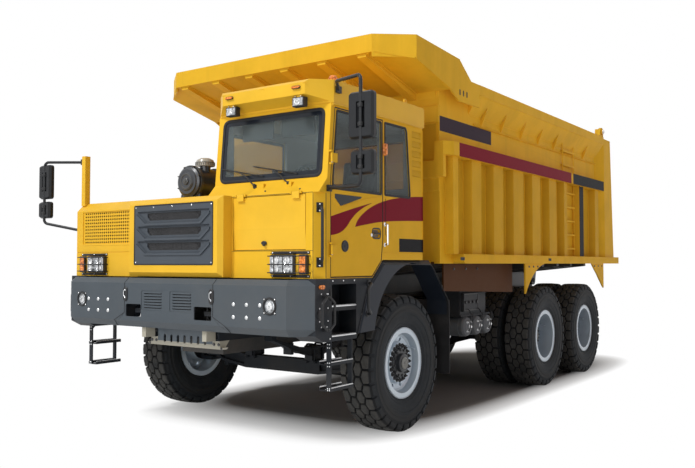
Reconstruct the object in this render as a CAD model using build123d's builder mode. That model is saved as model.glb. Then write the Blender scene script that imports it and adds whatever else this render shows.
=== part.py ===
from build123d import *
from math import atan2, cos, hypot, radians, sin
import os

# Six-wheel mining dump truck with an offset cab, in millimetres.
# The front faces -Y, the driver's side is +X, and the ground is Z = 0.
# The origin is on the ground at the middle of the overall length.

# Overall
overall_length = 8512
front_overhang = 1742
rear_overhang = 1405
bogie_spread = 1649
bed_half_width = 1746
mirror_reach_x = 2235
running_gap = 6
seat_gap = 0.3
bumper_face_y = -overall_length / 2
bed_tail_y = overall_length / 2
front_axle_y = bumper_face_y + front_overhang
rear_axle_y = bed_tail_y - rear_overhang
mid_axle_y = rear_axle_y - bogie_spread
bogie_y = (mid_axle_y + rear_axle_y) / 2

# Wheels
tyre_radius = 684
tyre_half_width = 187.5
lug_height = 22
lugs_per_row = 20
lug_length = 130
bead_radius = 318
bead_half = 127
rim_flange_radius = 355
rim_half_width = 145
rim_well_radius = 300
axle_z = tyre_radius
front_track_x = 1405
outer_twin_x = 1465
twin_spacing = 430
inner_twin_x = outer_twin_x - twin_spacing
twin_mid_x = (outer_twin_x + inner_twin_x) / 2

# Frame rails
rail_inner_x = 380
rail_outer_x = 480
rail_bottom_z = 960
rail_top_z = 1300
rail_plate = 14
rail_front_y = bumper_face_y + 206
hinge_y = rear_axle_y + 719
hinge_z = 1400
hinge_pin_radius = 38
pin_clearance = 0.3
rail_tail_y = hinge_y + 70

# Cab and hood, whose sheets share the front face
cab_front_y = bumper_face_y + 202
cab_rear_y = cab_front_y + 1776
cab_inner_x = 310
cab_outer_x = 1640
cab_wall = 45
cab_floor_z = 1550
cab_arch_y = front_axle_y - 532
cab_arch_z = 1715
cab_arch_foot_y = front_axle_y - 710
cab_roof_z = 3080
cowl_z = 2290
screen_foot_y = cab_front_y + 120
screen_foot_z = 2420
screen_head_y = cab_front_y + 180
glass_thickness = 8
hood_outer_x = -1640
hood_top_z = 2330
hood_sheet = 20
nose_face_y = bumper_face_y + 52
gearbox_end_y = cab_rear_y + 228

# Bumper, steps and fenders
bumper_top_z = 1540
bumper_bottom_z = 1060
bumper_flat_x = 1451
bumper_end_x = 1645
bumper_end_y = bumper_face_y + 138
bumper_back_y = bumper_face_y + 146
bumper_sheet = 12
step_side_x = 1645
step_inner_x = 1400
fender_side_x = 1650
fender_inner_x = 1380
fender_sheet = 12
flap_y = front_axle_y + 805

# Bed
bed_front_y = bumper_face_y + 2426
bed_rear_y = bed_tail_y - 124
bed_wall = 40
wall_outer_x = bed_half_width - 146
wall_inner_x = wall_outer_x - bed_wall
rib_face_x = bed_half_width - 46
floor_bottom_z = 1700
floor_top_z = 1740
bed_top_z = 3725
bottom_rail_z = 1680
bottom_rail_height = 105
beam_bottom_z = 2850
beam_top_z = 3000
panel_top_z = 3400
subframe_gap = 6
bed_tip_limit = 45

# Hoists, whose closed and open lengths are worked out from the pins
hoist_x = 690
hoist_foot_y = bed_front_y + 0.2185 * (hinge_y - bed_front_y)
hoist_foot_z = 1060
hoist_eye_y = bed_front_y + 0.487 * (hinge_y - bed_front_y)
hoist_eye_z = 1470
barrel_radius = 100
stage_radius = 80
rod_radius = 58
hoist_pin_radius = 42

# Tailgate
gate_pin_y = bed_tail_y - 350
gate_pin_z = 3880
gate_thickness = 70

# Steering
kingpin_x = 1100
kingpin_radius = 35
arm_length = 220
arm_end_x = 1060


def block(x, y, z, mode=Mode.ADD):
    """Box between the low and high values of each axis."""
    with Locations(((x[0] + x[1]) / 2, (y[0] + y[1]) / 2, (z[0] + z[1]) / 2)):
        Box(abs(x[1] - x[0]), abs(y[1] - y[0]), abs(z[1] - z[0]), mode=mode)


def prism(plane, points, depth, mode=Mode.ADD):
    """Straight-sided outline on a plane, extruded along the plane's normal."""
    with BuildSketch(plane) as outline:
        with BuildLine():
            Polyline(*points, close=True)
        make_face()
    extrude(outline.sketch, amount=depth, dir=plane.z_dir, mode=mode)


def side_prism(points, x, mode=Mode.ADD):
    """Outline of (y, z) points, extruded between two X values."""
    prism(Plane.YZ.offset(min(x)), points, abs(x[1] - x[0]), mode)


def plan_prism(points, z, mode=Mode.ADD):
    """Outline of (x, y) points, extruded between two Z values."""
    prism(Plane.XY.offset(z[0]), points, z[1] - z[0], mode)


def front_prism(points, y, mode=Mode.ADD):
    """Outline of (x, z) points, extruded between two Y values."""
    prism(Plane.XZ.offset(-y[1]), points, y[1] - y[0], mode)


def rod_x(y, z, radius, x, mode=Mode.ADD):
    """Round bar along X."""
    with Locations(Plane.YZ.offset((x[0] + x[1]) / 2)):
        with Locations((y, z)):
            Cylinder(radius, abs(x[1] - x[0]), mode=mode)


def rod_y(x, z, radius, y, mode=Mode.ADD):
    """Round bar along Y."""
    with Locations(Plane.XZ.offset(-(y[0] + y[1]) / 2)):
        with Locations((x, z)):
            Cylinder(radius, abs(y[1] - y[0]), mode=mode)


def rod_z(x, y, radius, z, mode=Mode.ADD):
    """Round bar along Z."""
    with Locations((x, y, (z[0] + z[1]) / 2)):
        Cylinder(radius, abs(z[1] - z[0]), mode=mode)


def tube_between(start, end, radius, mode=Mode.ADD):
    """Round bar between two points."""
    way = Vector(*end) - Vector(*start)
    plane = Plane(origin=start, z_dir=way)
    with BuildSketch(plane) as section:
        Circle(radius)
    extrude(section.sketch, amount=way.length, dir=way.normalized(), mode=mode)


def bent_tube(points, bend, radius):
    """Round tube along straight runs joined by bends."""
    with BuildLine() as path:
        FilletPolyline(*points, radius=bend)
    with BuildSketch(Plane(origin=path.line @ 0, z_dir=path.line % 0)) as section:
        Circle(radius)
    sweep(section.sketch, path=path.line)


def turned(points, origin, axis, mode=Mode.ADD):
    """Closed outline of (distance along the axis, radius) points, turned about the axis."""
    across = (0, 0, 1) if axis != (0, 0, 1) else (0, 1, 0)
    plane = Plane(origin=origin, x_dir=axis, z_dir=Vector(*axis).cross(Vector(*across)))
    with BuildSketch(plane) as outline:
        with BuildLine():
            Polyline(*points, close=True)
        make_face()
    revolve(outline.sketch, axis=Axis(origin, axis), mode=mode)


def inset(points, distance):
    """Outline with every side moved inwards by a distance."""
    count = len(points)
    area = sum(points[n - 1][0] * points[n][1] - points[n][0] * points[n - 1][1] for n in range(count))
    turn = distance if area > 0 else -distance
    moved = []
    for n in range(count):
        before, here, after = points[n - 1], points[n], points[(n + 1) % count]
        in_y, in_z = here[0] - before[0], here[1] - before[1]
        out_y, out_z = after[0] - here[0], after[1] - here[1]
        in_length = hypot(in_y, in_z)
        out_length = hypot(out_y, out_z)
        in_y, in_z = in_y / in_length, in_z / in_length
        out_y, out_z = out_y / out_length, out_z / out_length
        cross = in_y * out_z - in_z * out_y
        slide = (1 - in_y * out_y - in_z * out_z) / cross
        moved.append((here[0] + turn * (-in_z - in_y * slide), here[1] + turn * (in_y - in_z * slide)))
    return moved


def from_y(start, points):
    """Outline whose (y, z) points are measured back from a Y value."""
    return [(start + y, z) for y, z in points]


def both(side, low, high):
    """Pair of X values on one side of the truck, lowest first."""
    return sorted((side * low, side * high))


def mirrored(points):
    """The same outline with its first value's sign changed."""
    return [(-first, second) for first, second in points]


def part_way(start, end, share):
    """Value at a share of the way between two others."""
    return start + share * (end - start)


def save(node, name):
    node.label = name
    export_step(node, f"parts/{name}.step")


os.makedirs("parts", exist_ok=True)

# Frame: two channel rails, cross members, hinge ears, hoist stubs and tow lugs
hinge_ear_x = (400, 460)
hinge_ear_radius = 80
hoist_stub_end_x = 800
cross_start_y = gearbox_end_y + 100
cross_end_y = rail_tail_y - 240
cross_member_y = [rail_front_y + 90]
cross_member_y += [part_way(cross_start_y, cross_end_y, share) for share in (0, 0.1215, 0.28, 0.477, 0.645, 0.843, 1)]
mount_beam_y = ((cab_front_y + 64, cab_front_y + 144), (cab_front_y + 684, cab_front_y + 764))
mount_beam_z = (1460, cab_floor_z - seat_gap)
tow_lug_x = (430, 520)
tow_lug_z = (1200, 1240)
tow_hole_radius = 25
tow_hole_y = rail_front_y - 30

with BuildPart() as frame:
    channel = [
        (rail_outer_x, rail_bottom_z),
        (rail_outer_x, rail_top_z),
        (rail_inner_x, rail_top_z),
        (rail_inner_x, rail_top_z - rail_plate),
        (rail_outer_x - rail_plate, rail_top_z - rail_plate),
        (rail_outer_x - rail_plate, rail_bottom_z + rail_plate),
        (rail_inner_x, rail_bottom_z + rail_plate),
        (rail_inner_x, rail_bottom_z),
    ]
    front_prism(channel, (rail_front_y, rail_tail_y))
    front_prism(mirrored(channel), (rail_front_y, rail_tail_y))
    for y in cross_member_y:
        block((-rail_outer_x + rail_plate, rail_outer_x - rail_plate), (y - 50, y + 50),
              (rail_bottom_z + rail_plate, rail_bottom_z + 180))
    for side in (-1, 1):
        ear = both(side, *hinge_ear_x)
        block(ear, (hinge_y - 80, rail_tail_y), (rail_top_z, hinge_z))
        rod_x(hinge_y, hinge_z, hinge_ear_radius, ear)
        rod_x(hinge_y, hinge_z, hinge_pin_radius, both(side, 330, 530))
        rod_x(hoist_foot_y, hoist_foot_z, hoist_pin_radius, both(side, rail_outer_x, hoist_stub_end_x))
        stub = [(hoist_foot_y - 130, 975), (hoist_foot_y - 60, 1150), (hoist_foot_y + 60, 1150),
                (hoist_foot_y + 130, 975)]
        side_prism(stub, both(side, rail_outer_x - 1, 560))
        block(both(side, *tow_lug_x), (rail_front_y - 140, rail_front_y + 60), tow_lug_z)
        rod_z(side * rail_outer_x, tow_hole_y, tow_hole_radius, (1180, 1260), Mode.SUBTRACT)
        cab_post = both(side, rail_inner_x + 10, rail_outer_x - 10)
        for y in mount_beam_y:
            block(cab_post, y, (rail_top_z - 1, mount_beam_z[0]))
        block(both(side, rail_inner_x + 10, fender_inner_x - seat_gap), mount_beam_y[1], mount_beam_z)
        tail_plate = [(side * 300, rail_bottom_z - 60), (side * 760, 1130), (side * 760, 1240), (side * 300, 1240)]
        front_prism(tail_plate, (rail_tail_y, rail_tail_y + 14))
        block(both(side, 600, 740), (rail_tail_y + 14, rail_tail_y + 50), (1150, 1220))
    block((-step_inner_x + seat_gap, step_inner_x - seat_gap), mount_beam_y[0], mount_beam_z)
    block((-300, 300), (rail_tail_y, rail_tail_y + 14), (rail_bottom_z - 60, 1120))
save(frame.part, "frame")

# Bumper: a folded shell with chamfered lips and swept ends, split at its seams
lip_top = 50
lip_bottom = 64
seam_gap = 4
seam_top_x = 600
seam_foot_x = 770
seam_bend_z = 1200
seam_half = [
    (seam_top_x, bumper_top_z + 10), (seam_top_x, seam_bend_z), (seam_foot_x, bumper_bottom_z - 10),
]
tow_window = (362, 584)
tow_window_z = (1164, 1286)
vent_window = (40, 356)
vent_window_z = (1230, 1420)
fog_lamp_x = 1268
fog_lamp_z = 1316
fog_lamp_radius = 60

with BuildPart() as bumper_shell:
    bumper_plan = [
        (-bumper_flat_x, bumper_face_y), (bumper_flat_x, bumper_face_y),
        (bumper_end_x, bumper_end_y), (bumper_end_x, bumper_back_y),
        (-bumper_end_x, bumper_back_y), (-bumper_end_x, bumper_end_y),
    ]
    plan_prism(bumper_plan, (bumper_bottom_z, bumper_top_z))
    top_front = (bumper_shell.faces().sort_by(Axis.Z)[-1].edges()
                 .filter_by(lambda e: e.center().Y < bumper_back_y - 10))
    chamfer(top_front, length=lip_top)
    bottom_front = (bumper_shell.faces().sort_by(Axis.Z)[0].edges()
                    .filter_by(lambda e: e.center().Y < bumper_back_y - 10))
    chamfer(bottom_front, length=lip_bottom)
    back = bumper_shell.faces().sort_by(Axis.Y)[-1]
    offset(amount=-bumper_sheet, openings=back)

bumper_depth = (bumper_face_y - 10, bumper_back_y + 10)
bumper_front = (bumper_face_y - 5, bumper_face_y + 40)
with BuildPart() as bumper_centre:
    add(bumper_shell.part)
    front_prism(seam_half + mirrored(seam_half)[::-1], bumper_depth, Mode.INTERSECT)
    for side in (-1, 1):
        with BuildSketch(Plane.XZ.offset(-bumper_front[1])) as windows:
            with Locations((side * (tow_window[0] + tow_window[1]) / 2, (tow_window_z[0] + tow_window_z[1]) / 2)):
                RectangleRounded(tow_window[1] - tow_window[0], tow_window_z[1] - tow_window_z[0], 14)
            with Locations((side * (vent_window[0] + vent_window[1]) / 2, (vent_window_z[0] + vent_window_z[1]) / 2)):
                RectangleRounded(vent_window[1] - vent_window[0], vent_window_z[1] - vent_window_z[0], 20)
        extrude(windows.sketch, amount=bumper_front[1] - bumper_front[0], dir=(0, -1, 0), mode=Mode.SUBTRACT)
        block(both(side, 385, 440), (bumper_back_y - 60, rail_front_y - seat_gap),
              (rail_bottom_z + 2, bumper_bottom_z + bumper_sheet - 1))
save(bumper_centre.part, "bumper_centre")

with BuildPart() as bumper_ends:
    add(bumper_shell.part)
    seam_cut = [(x + seam_gap, z) for x, z in seam_half]
    front_prism(seam_cut + mirrored(seam_cut)[::-1], bumper_depth, Mode.SUBTRACT)
    for side in (-1, 1):
        rod_y(side * fog_lamp_x, fog_lamp_z, fog_lamp_radius + seat_gap, bumper_front, Mode.SUBTRACT)
save(bumper_ends.part, "bumper_ends")

# Slotted guard that hangs under the bumper, ahead of the axle
guard_y = bumper_face_y + 232
guard_half_width = 375
guard_z = (900, 1050)
guard_slots = 7
with BuildPart() as front_guard:
    block((-guard_half_width, guard_half_width), (guard_y, guard_y + 10), guard_z)
    with BuildSketch(Plane.XZ.offset(-guard_y)) as slots:
        with Locations((0, 950)):
            with GridLocations(92, 0, guard_slots, 1):
                SlotOverall(78, 34, rotation=90)
    extrude(slots.sketch, amount=10, dir=(0, 1, 0), mode=Mode.SUBTRACT)
    for side in (-1, 1):
        block(both(side, guard_half_width, 470), (guard_y, guard_y + 60), (900, rail_bottom_z))
        arm = [(guard_y, 880), (guard_y + 60, 880), (guard_y + 130, rail_bottom_z), (guard_y + 60, rail_bottom_z)]
        side_prism(arm, both(side, 440, 470))
    front_prism([(-520, 900), (-500, 880), (500, 880), (520, 900)], (guard_y, guard_y + 60))
save(front_guard.part, "front_guard")

# Hood: a sheet cover on the right with the bevelled nose box on the truck's middle line
nose_x = (-640, 640)
nose_z = (1556, 2300)
nose_bevel = 40
mesh_x = (-1535, -741)
mesh_z = (1886, 2229)
post_x = (-1630, -1570)
grille_x = (-524, 544)
grille_z = (1671, 2244)
hood_seam_z = (1797, 1803)

with BuildPart() as engine_hood:
    cover = from_y(cab_front_y, [(0, cab_floor_z), (0, 2240), (90, hood_top_z)]) + [
        (cab_rear_y, hood_top_z), (cab_rear_y, cab_arch_z), (cab_arch_y, cab_arch_z), (cab_arch_foot_y, cab_floor_z),
    ]
    side_prism(cover, (hood_outer_x, cab_inner_x - seat_gap))
    inner = from_y(cab_front_y, [
        (hood_sheet, cab_floor_z - 1), (hood_sheet, 2232), (98, hood_top_z - hood_sheet),
    ]) + [
        (cab_rear_y - hood_sheet, hood_top_z - hood_sheet),
        (cab_rear_y - hood_sheet, cab_arch_z - 1), (cab_arch_y, cab_arch_z - 1),
        (cab_arch_y, cab_arch_z + hood_sheet), (cab_arch_foot_y - 15, cab_floor_z + hood_sheet),
        (cab_arch_foot_y - 15, cab_floor_z - 1),
    ]
    side_prism(inner, (hood_outer_x + hood_sheet, cab_inner_x - seat_gap - hood_sheet), Mode.SUBTRACT)
    block(nose_x, (nose_face_y, cab_front_y - seat_gap), nose_z)
    block((nose_x[0], cab_inner_x - seat_gap), (cab_front_y - 1, cab_front_y), nose_z)
    nose_front = engine_hood.faces().sort_by(Axis.Y)[0].edges()
    chamfer(nose_front, length=nose_bevel)
    block((nose_x[0] + 70, nose_x[1] - 70), (nose_face_y + 30, cab_front_y - 30),
          (nose_z[0] + 70, nose_z[1] - 70), Mode.SUBTRACT)
    block((-560, 270), (cab_front_y - 40, cab_front_y + hood_sheet + 5), (nose_z[0] + 80, 2200), Mode.SUBTRACT)
    block((grille_x[0] - seat_gap, grille_x[1] + seat_gap), (nose_face_y - 5, nose_face_y + 40),
          (grille_z[0] - seat_gap, grille_z[1] + seat_gap), Mode.SUBTRACT)
    block(mesh_x, (cab_front_y - 5, cab_front_y + hood_sheet + 5), mesh_z, Mode.SUBTRACT)
    block((hood_outer_x - 5, nose_x[0] - 5), (cab_front_y - 5, cab_front_y + 5), hood_seam_z, Mode.SUBTRACT)
    post_foot = from_y(cab_front_y, [(44, hood_top_z - 25), (109, hood_top_z - 25), (109, 2850), (44, 2850)])
    side_prism(post_foot, post_x)
save(engine_hood.part, "engine_hood")

# Perforated air intake panel of the hood, and the louvred panels of the bumper
mesh_pitch = 34
mesh_hole = 19
with BuildPart() as vent_panels:
    gap = seat_gap
    mesh_mid = ((mesh_x[0] + mesh_x[1]) / 2, (mesh_z[0] + mesh_z[1]) / 2)
    columns = int((mesh_x[1] - mesh_x[0]) / mesh_pitch) - 1
    rows = int((mesh_z[1] - mesh_z[0]) / mesh_pitch)
    block((mesh_x[0] + gap, mesh_x[1] - gap), (cab_front_y + 6, cab_front_y + 10), (mesh_z[0] + gap, mesh_z[1] - gap))
    with BuildSketch(Plane.XZ.offset(-cab_front_y)) as holes:
        with Locations(mesh_mid):
            with GridLocations(mesh_pitch, mesh_pitch, columns, rows):
                Rectangle(mesh_hole, mesh_hole, rotation=45)
    extrude(holes.sketch, amount=20, dir=(0, 1, 0), mode=Mode.SUBTRACT)
    vent_pitch = 0.142 * (vent_window_z[1] - vent_window_z[0])
    for side in (-1, 1):
        middle = side * (vent_window[0] + vent_window[1]) / 2
        with BuildSketch(Plane.XZ.offset(-bumper_face_y - 12)) as louvre_panel:
            with Locations((middle, (vent_window_z[0] + vent_window_z[1]) / 2)):
                RectangleRounded(vent_window[1] - vent_window[0] - 2 * gap,
                                 vent_window_z[1] - vent_window_z[0] - 2 * gap, 20)
                with GridLocations(0, vent_pitch, 1, 6):
                    SlotOverall(250, 13, mode=Mode.SUBTRACT)
        extrude(louvre_panel.sketch, amount=8, dir=(0, -1, 0))
        for n in range(6):
            z = (vent_window_z[0] + vent_window_z[1]) / 2 + (n - 2.5) * vent_pitch + 8
            hood_lip = [(bumper_face_y + 5, z), (bumper_face_y + 0.5, z - 6), (bumper_face_y + 0.5, z - 3),
                        (bumper_face_y + 5, z + 3)]
            side_prism(hood_lip, (middle - 118, middle + 118))
save(vent_panels.part, "vent_panels")

# Grille panel: three dished louvres with raised lower lips, set in the nose
louvre_z = (2130, 1985, 1840)
grille_thickness = 30
dish_depth = 18
with BuildPart() as grille:
    with BuildSketch(Plane.XZ.offset(-nose_face_y)) as panel:
        with Locations(((grille_x[0] + grille_x[1]) / 2, (grille_z[0] + grille_z[1]) / 2)):
            Rectangle(grille_x[1] - grille_x[0], grille_z[1] - grille_z[0])
    extrude(panel.sketch, amount=grille_thickness, dir=(0, 1, 0))
    centre = (grille_x[0] + grille_x[1]) / 2
    for z in louvre_z:
        with BuildSketch(Plane.XZ.offset(-nose_face_y)) as mouth:
            with BuildLine():
                Polyline((centre - 490, z + 58), (centre + 490, z + 58), (centre + 490, z + 40),
                         (centre + 368, z - 58), (centre - 368, z - 58), (centre - 490, z + 40), close=True)
            make_face()
        extrude(mouth.sketch, amount=-dish_depth, taper=32, mode=Mode.SUBTRACT)
        slot = [(centre - 366, z + 40), (centre + 366, z + 40), (centre + 366, z), (centre + 330, z - 32),
                (centre - 330, z - 32), (centre - 366, z)]
        front_prism(slot, (nose_face_y, nose_face_y + grille_thickness + 5), Mode.SUBTRACT)
        lip = [(centre - 500, z + 32), (centre - 500, z + 12), (centre - 385, z - 80), (centre + 385, z - 80),
               (centre + 500, z + 12), (centre + 500, z + 32), (centre + 372, z - 62), (centre - 372, z - 62)]
        front_prism(lip, (nose_face_y - 12, nose_face_y + 1))
save(grille.part, "grille")

# Engine and gearbox as plain blocks between the rails
engine_y = (cab_front_y + 274, cab_front_y + 1354)
with BuildPart() as engine_block:
    block((-280, 280), engine_y, (800, 1455))
    block((-200, 200), (engine_y[1], gearbox_end_y), (820, 1240))
    block((-330, 330), (engine_y[0] - 100, engine_y[0] + 1), (980, 1455))
    for side in (-1, 1):
        for y in (engine_y[0] + 280, engine_y[1] - 100):
            block(both(side, 275, 450), (y - 60, y + 60), (rail_bottom_z + rail_plate + seat_gap, 1010))
save(engine_block.part, "engine_block")

# Headlamps: a housing each side with pockets for the lamp and the indicator outboard
lamp_x = (1133, 1399)
indicator_x = (1455, 1535)
lamp_z = (1588, 1757)
lamp_depth = 40
lens_inset = 9
with BuildPart() as headlamps:
    for side in (-1, 1):
        for span in (lamp_x, indicator_x):
            with BuildSketch(Plane.XZ.offset(-cab_front_y + seat_gap)) as housing:
                with Locations((side * (span[0] + span[1]) / 2, (lamp_z[0] + lamp_z[1]) / 2)):
                    RectangleRounded(span[1] - span[0], lamp_z[1] - lamp_z[0], 14)
            extrude(housing.sketch, amount=lamp_depth)
            pocket = both(side, span[0] + lens_inset, span[1] - lens_inset)
            block(pocket, (cab_front_y - lamp_depth - 5, cab_front_y - lamp_depth + 15),
                  (lamp_z[0] + lens_inset, lamp_z[1] - lens_inset), Mode.SUBTRACT)
        block(both(side, lamp_x[1] - 5, indicator_x[0] + 5), (cab_front_y - 12, cab_front_y - seat_gap), lamp_z)
save(headlamps.part, "headlamps")

# Wire guards over the headlamps: hoops of round bar on four feet
guard_wire = 5
wire_y = cab_front_y - lamp_depth - 22
with BuildPart() as lamp_guards:
    for side in (-1, 1):
        wire_x = both(side, lamp_x[0] - 14, indicator_x[1] + 14)
        for z in (lamp_z[0] + 12, (lamp_z[0] + lamp_z[1]) / 2, lamp_z[1] - 12):
            hoop = [
                (wire_x[0], cab_front_y - seat_gap, z), (wire_x[0], wire_y, z),
                (wire_x[1], wire_y, z), (wire_x[1], cab_front_y - seat_gap, z),
            ]
            bent_tube(hoop, 12, guard_wire)
        for x in (lamp_x[0] + 60, (lamp_x[0] + lamp_x[1]) / 2 + 30, lamp_x[1] + 28):
            rod_z(side * x, wire_y, guard_wire - 1, (lamp_z[0] + 4, lamp_z[1] - 4))
save(lamp_guards.part, "lamp_guards")

# Cab shell: side profile with the wheel-arch notch, hollow, windows and doorway cut
cab_outline = [
    (cab_front_y, cab_floor_z), (cab_front_y, cowl_z), (screen_foot_y, screen_foot_z),
    (screen_head_y, cab_roof_z), (cab_rear_y, cab_roof_z), (cab_rear_y, cab_arch_z),
    (cab_arch_y, cab_arch_z), (cab_arch_foot_y, cab_floor_z),
]
screen_x = (cab_inner_x + 70, cab_outer_x - 72)
screen_z = (2445, 3035)
flap_x = (656, 1500)
flap_z = (1797, 2283)
flap_thickness = 24
flap_hinge_y = cab_front_y - 12
flap_hinge_z = flap_z[1] + 12
rear_window_x = (500, 1440)
side_window_z = (2450, 2950)
right_window_y = (cab_front_y + 334, cab_front_y + 1154)
quarter = from_y(cab_front_y, [(1050, 2335), (1050, 3028), (1440, 3028), (1462, 2990), (1524, 2360), (1510, 2335)])
door_front_y = cab_front_y + 170
door_head_y = cab_front_y + 234
door_rear_y = cab_front_y + 1010
door_bottom_z = 1562
door_head_z = 3045
door_hinge_x = cab_outer_x + 16
door_outline = [
    (door_front_y, door_bottom_z), (door_front_y, screen_foot_z), (door_head_y, door_head_z),
    (door_rear_y, door_head_z), (door_rear_y, 1900), (door_rear_y - 28, cab_arch_z - 8),
    (cab_arch_foot_y - 5, door_bottom_z),
]
corner_bevel = (60, 100)
rear_pillar_y = (cab_front_y + 1566, cab_front_y + 1740)
hinge_leaf_z = (1800, 2600)


def screen_line(z, depth):
    """Y of the raked windscreen at a height, moved back by a depth."""
    rise = (z - screen_foot_z) / (cab_roof_z - screen_foot_z)
    return screen_foot_y + rise * (screen_head_y - screen_foot_y) + depth


with BuildPart() as cab_shell:
    side_prism(cab_outline, (cab_inner_x, cab_outer_x))
    side_prism(inset(cab_outline, cab_wall), (cab_inner_x + cab_wall, cab_outer_x - cab_wall), Mode.SUBTRACT)
    beyond = (0.1 * corner_bevel[0], 0.1 * corner_bevel[1])
    bevel = [(cab_outer_x + beyond[0], cab_front_y - beyond[1]),
             (cab_outer_x - corner_bevel[0] - beyond[0], cab_front_y - beyond[1]),
             (cab_outer_x + beyond[0], cab_front_y + corner_bevel[1] + beyond[1])]
    plan_prism(bevel, (cab_floor_z - 1, cowl_z), Mode.SUBTRACT)
    with BuildSketch(Plane.XZ.offset(-screen_head_y - 70)) as screen_hole:
        with Locations(((screen_x[0] + screen_x[1]) / 2, (screen_z[0] + screen_z[1]) / 2)):
            RectangleRounded(screen_x[1] - screen_x[0], screen_z[1] - screen_z[0], 30)
    extrude(screen_hole.sketch, amount=190, dir=(0, -1, 0), mode=Mode.SUBTRACT)
    block(flap_x, (cab_front_y - 5, cab_front_y + cab_wall + 5), flap_z, Mode.SUBTRACT)
    doorway = (cab_outer_x - cab_wall - 5, cab_outer_x + 5)
    side_prism(door_outline, doorway, Mode.SUBTRACT)
    side_prism(quarter, doorway, Mode.SUBTRACT)
    block((cab_inner_x - 5, cab_inner_x + cab_wall + 5), right_window_y, side_window_z, Mode.SUBTRACT)
    block(rear_window_x, (cab_rear_y - cab_wall - 5, cab_rear_y + 5), side_window_z, Mode.SUBTRACT)
    for n in range(5):
        z = 2560 + n * 98
        block((cab_outer_x - 8, cab_outer_x + 5), rear_pillar_y, (z, z + 66), Mode.SUBTRACT)
        louvre = [(cab_outer_x - 9, z), (cab_outer_x - 1, z + 12), (cab_outer_x - 9, z + 66)]
        front_prism(louvre, rear_pillar_y)
    block((cab_outer_x - 1, cab_outer_x + 7), (cab_rear_y - 5, cab_rear_y), (1790, 3050))
    block((cab_outer_x - 3, cab_outer_x + 5), (door_rear_y + 20, cab_rear_y + 5), (1781, 1787), Mode.SUBTRACT)
    for z in hinge_leaf_z:
        block((cab_outer_x, door_hinge_x + 10), (door_front_y - 26, door_front_y + 6), (z - 62, z - 46))
        block((cab_outer_x, door_hinge_x + 10), (door_front_y - 26, door_front_y + 6), (z + 46, z + 62))
        rod_z(door_hinge_x, door_front_y - 4, 5, (z - 62, z + 62))
    for x in (760, 1400):
        block((x - 62, x - 46), (flap_hinge_y - 8, cab_front_y + 2), (flap_z[1] + 3, flap_z[1] + 21))
        block((x + 46, x + 62), (flap_hinge_y - 8, cab_front_y + 2), (flap_z[1] + 3, flap_z[1] + 21))
        rod_x(flap_hinge_y, flap_hinge_z, 4, (x - 62, x + 62))
    for x in (930, 1250):
        block((x - 40, x + 40), (cab_front_y + 60, cab_front_y + 110), (2350, 2400))
save(cab_shell.part, "cab_shell")

# Cab roof with its swept visor
work_lamp_z = (3046, 3128)
visor_front_y = cab_front_y + 20
visor_swept_y = visor_front_y + 180
visor_half = (500, 1470)
visor_edge_z = 3150
roof_top_z = 3282
roof_side_x = (cab_inner_x - 10, cab_outer_x + 12)
with BuildPart() as cab_roof:
    roof_side = [
        (visor_front_y, visor_edge_z), (visor_front_y, roof_top_z - 26), (visor_front_y + 32, roof_top_z),
        (cab_rear_y + 4, roof_top_z), (cab_rear_y + 24, roof_top_z - 24),
        (cab_rear_y + 24, cab_roof_z + seat_gap), (screen_head_y - 8, cab_roof_z + seat_gap),
        (screen_head_y - 8, cab_roof_z + 16),
    ]
    side_prism(roof_side, roof_side_x)
    roof_plan = [
        (visor_half[0], visor_front_y - 1), (visor_half[1], visor_front_y - 1), (roof_side_x[1], visor_swept_y),
        (roof_side_x[1], cab_rear_y + 30), (roof_side_x[0], cab_rear_y + 30), (roof_side_x[0], visor_swept_y),
    ]
    plan_prism(roof_plan, (cab_roof_z, roof_top_z + 10), Mode.INTERSECT)
    for y in (visor_swept_y + 200, cab_rear_y - 300):
        block((cab_outer_x - 35, cab_outer_x - 15), (y - 30, y + 30), (roof_top_z - 30, roof_top_z + 6))
        rod_x(y, roof_top_z + 24, 28, (cab_outer_x - 31, cab_outer_x - 19))
        rod_x(y, roof_top_z + 28, 14, (cab_outer_x - 35, cab_outer_x - 15), Mode.SUBTRACT)
    for x in (visor_half[0] + 110, visor_half[1] - 70):
        block((x - 26, x + 26), (visor_front_y + 10, visor_front_y + 45), (work_lamp_z[1] + seat_gap, 3175))
save(cab_roof.part, "cab_roof")

# Work lamps under the visor, clearance lamps on its face and the beacon's base on top
work_lamp_x = (visor_half[0] + 110, visor_half[1] - 70)
work_lamp_y = (visor_front_y - 6, visor_front_y + 52)
beacon_place = (1470, visor_front_y + 420)
with BuildPart() as roof_lamps:
    for x in work_lamp_x:
        block((x - 62, x + 62), work_lamp_y, work_lamp_z)
        block((x - 54, x + 54), (work_lamp_y[0] - 1, work_lamp_y[0] + 10), (work_lamp_z[0] + 8, work_lamp_z[1] - 8),
              Mode.SUBTRACT)
        with BuildSketch(Plane.XZ.offset(-visor_front_y + seat_gap)) as marker:
            with Locations((x - 20, 3215)):
                SlotOverall(90, 26)
        extrude(marker.sketch, amount=16)
    rod_z(*beacon_place, 55, (roof_top_z + seat_gap, roof_top_z + 20))
save(roof_lamps.part, "roof_lamps")

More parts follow.
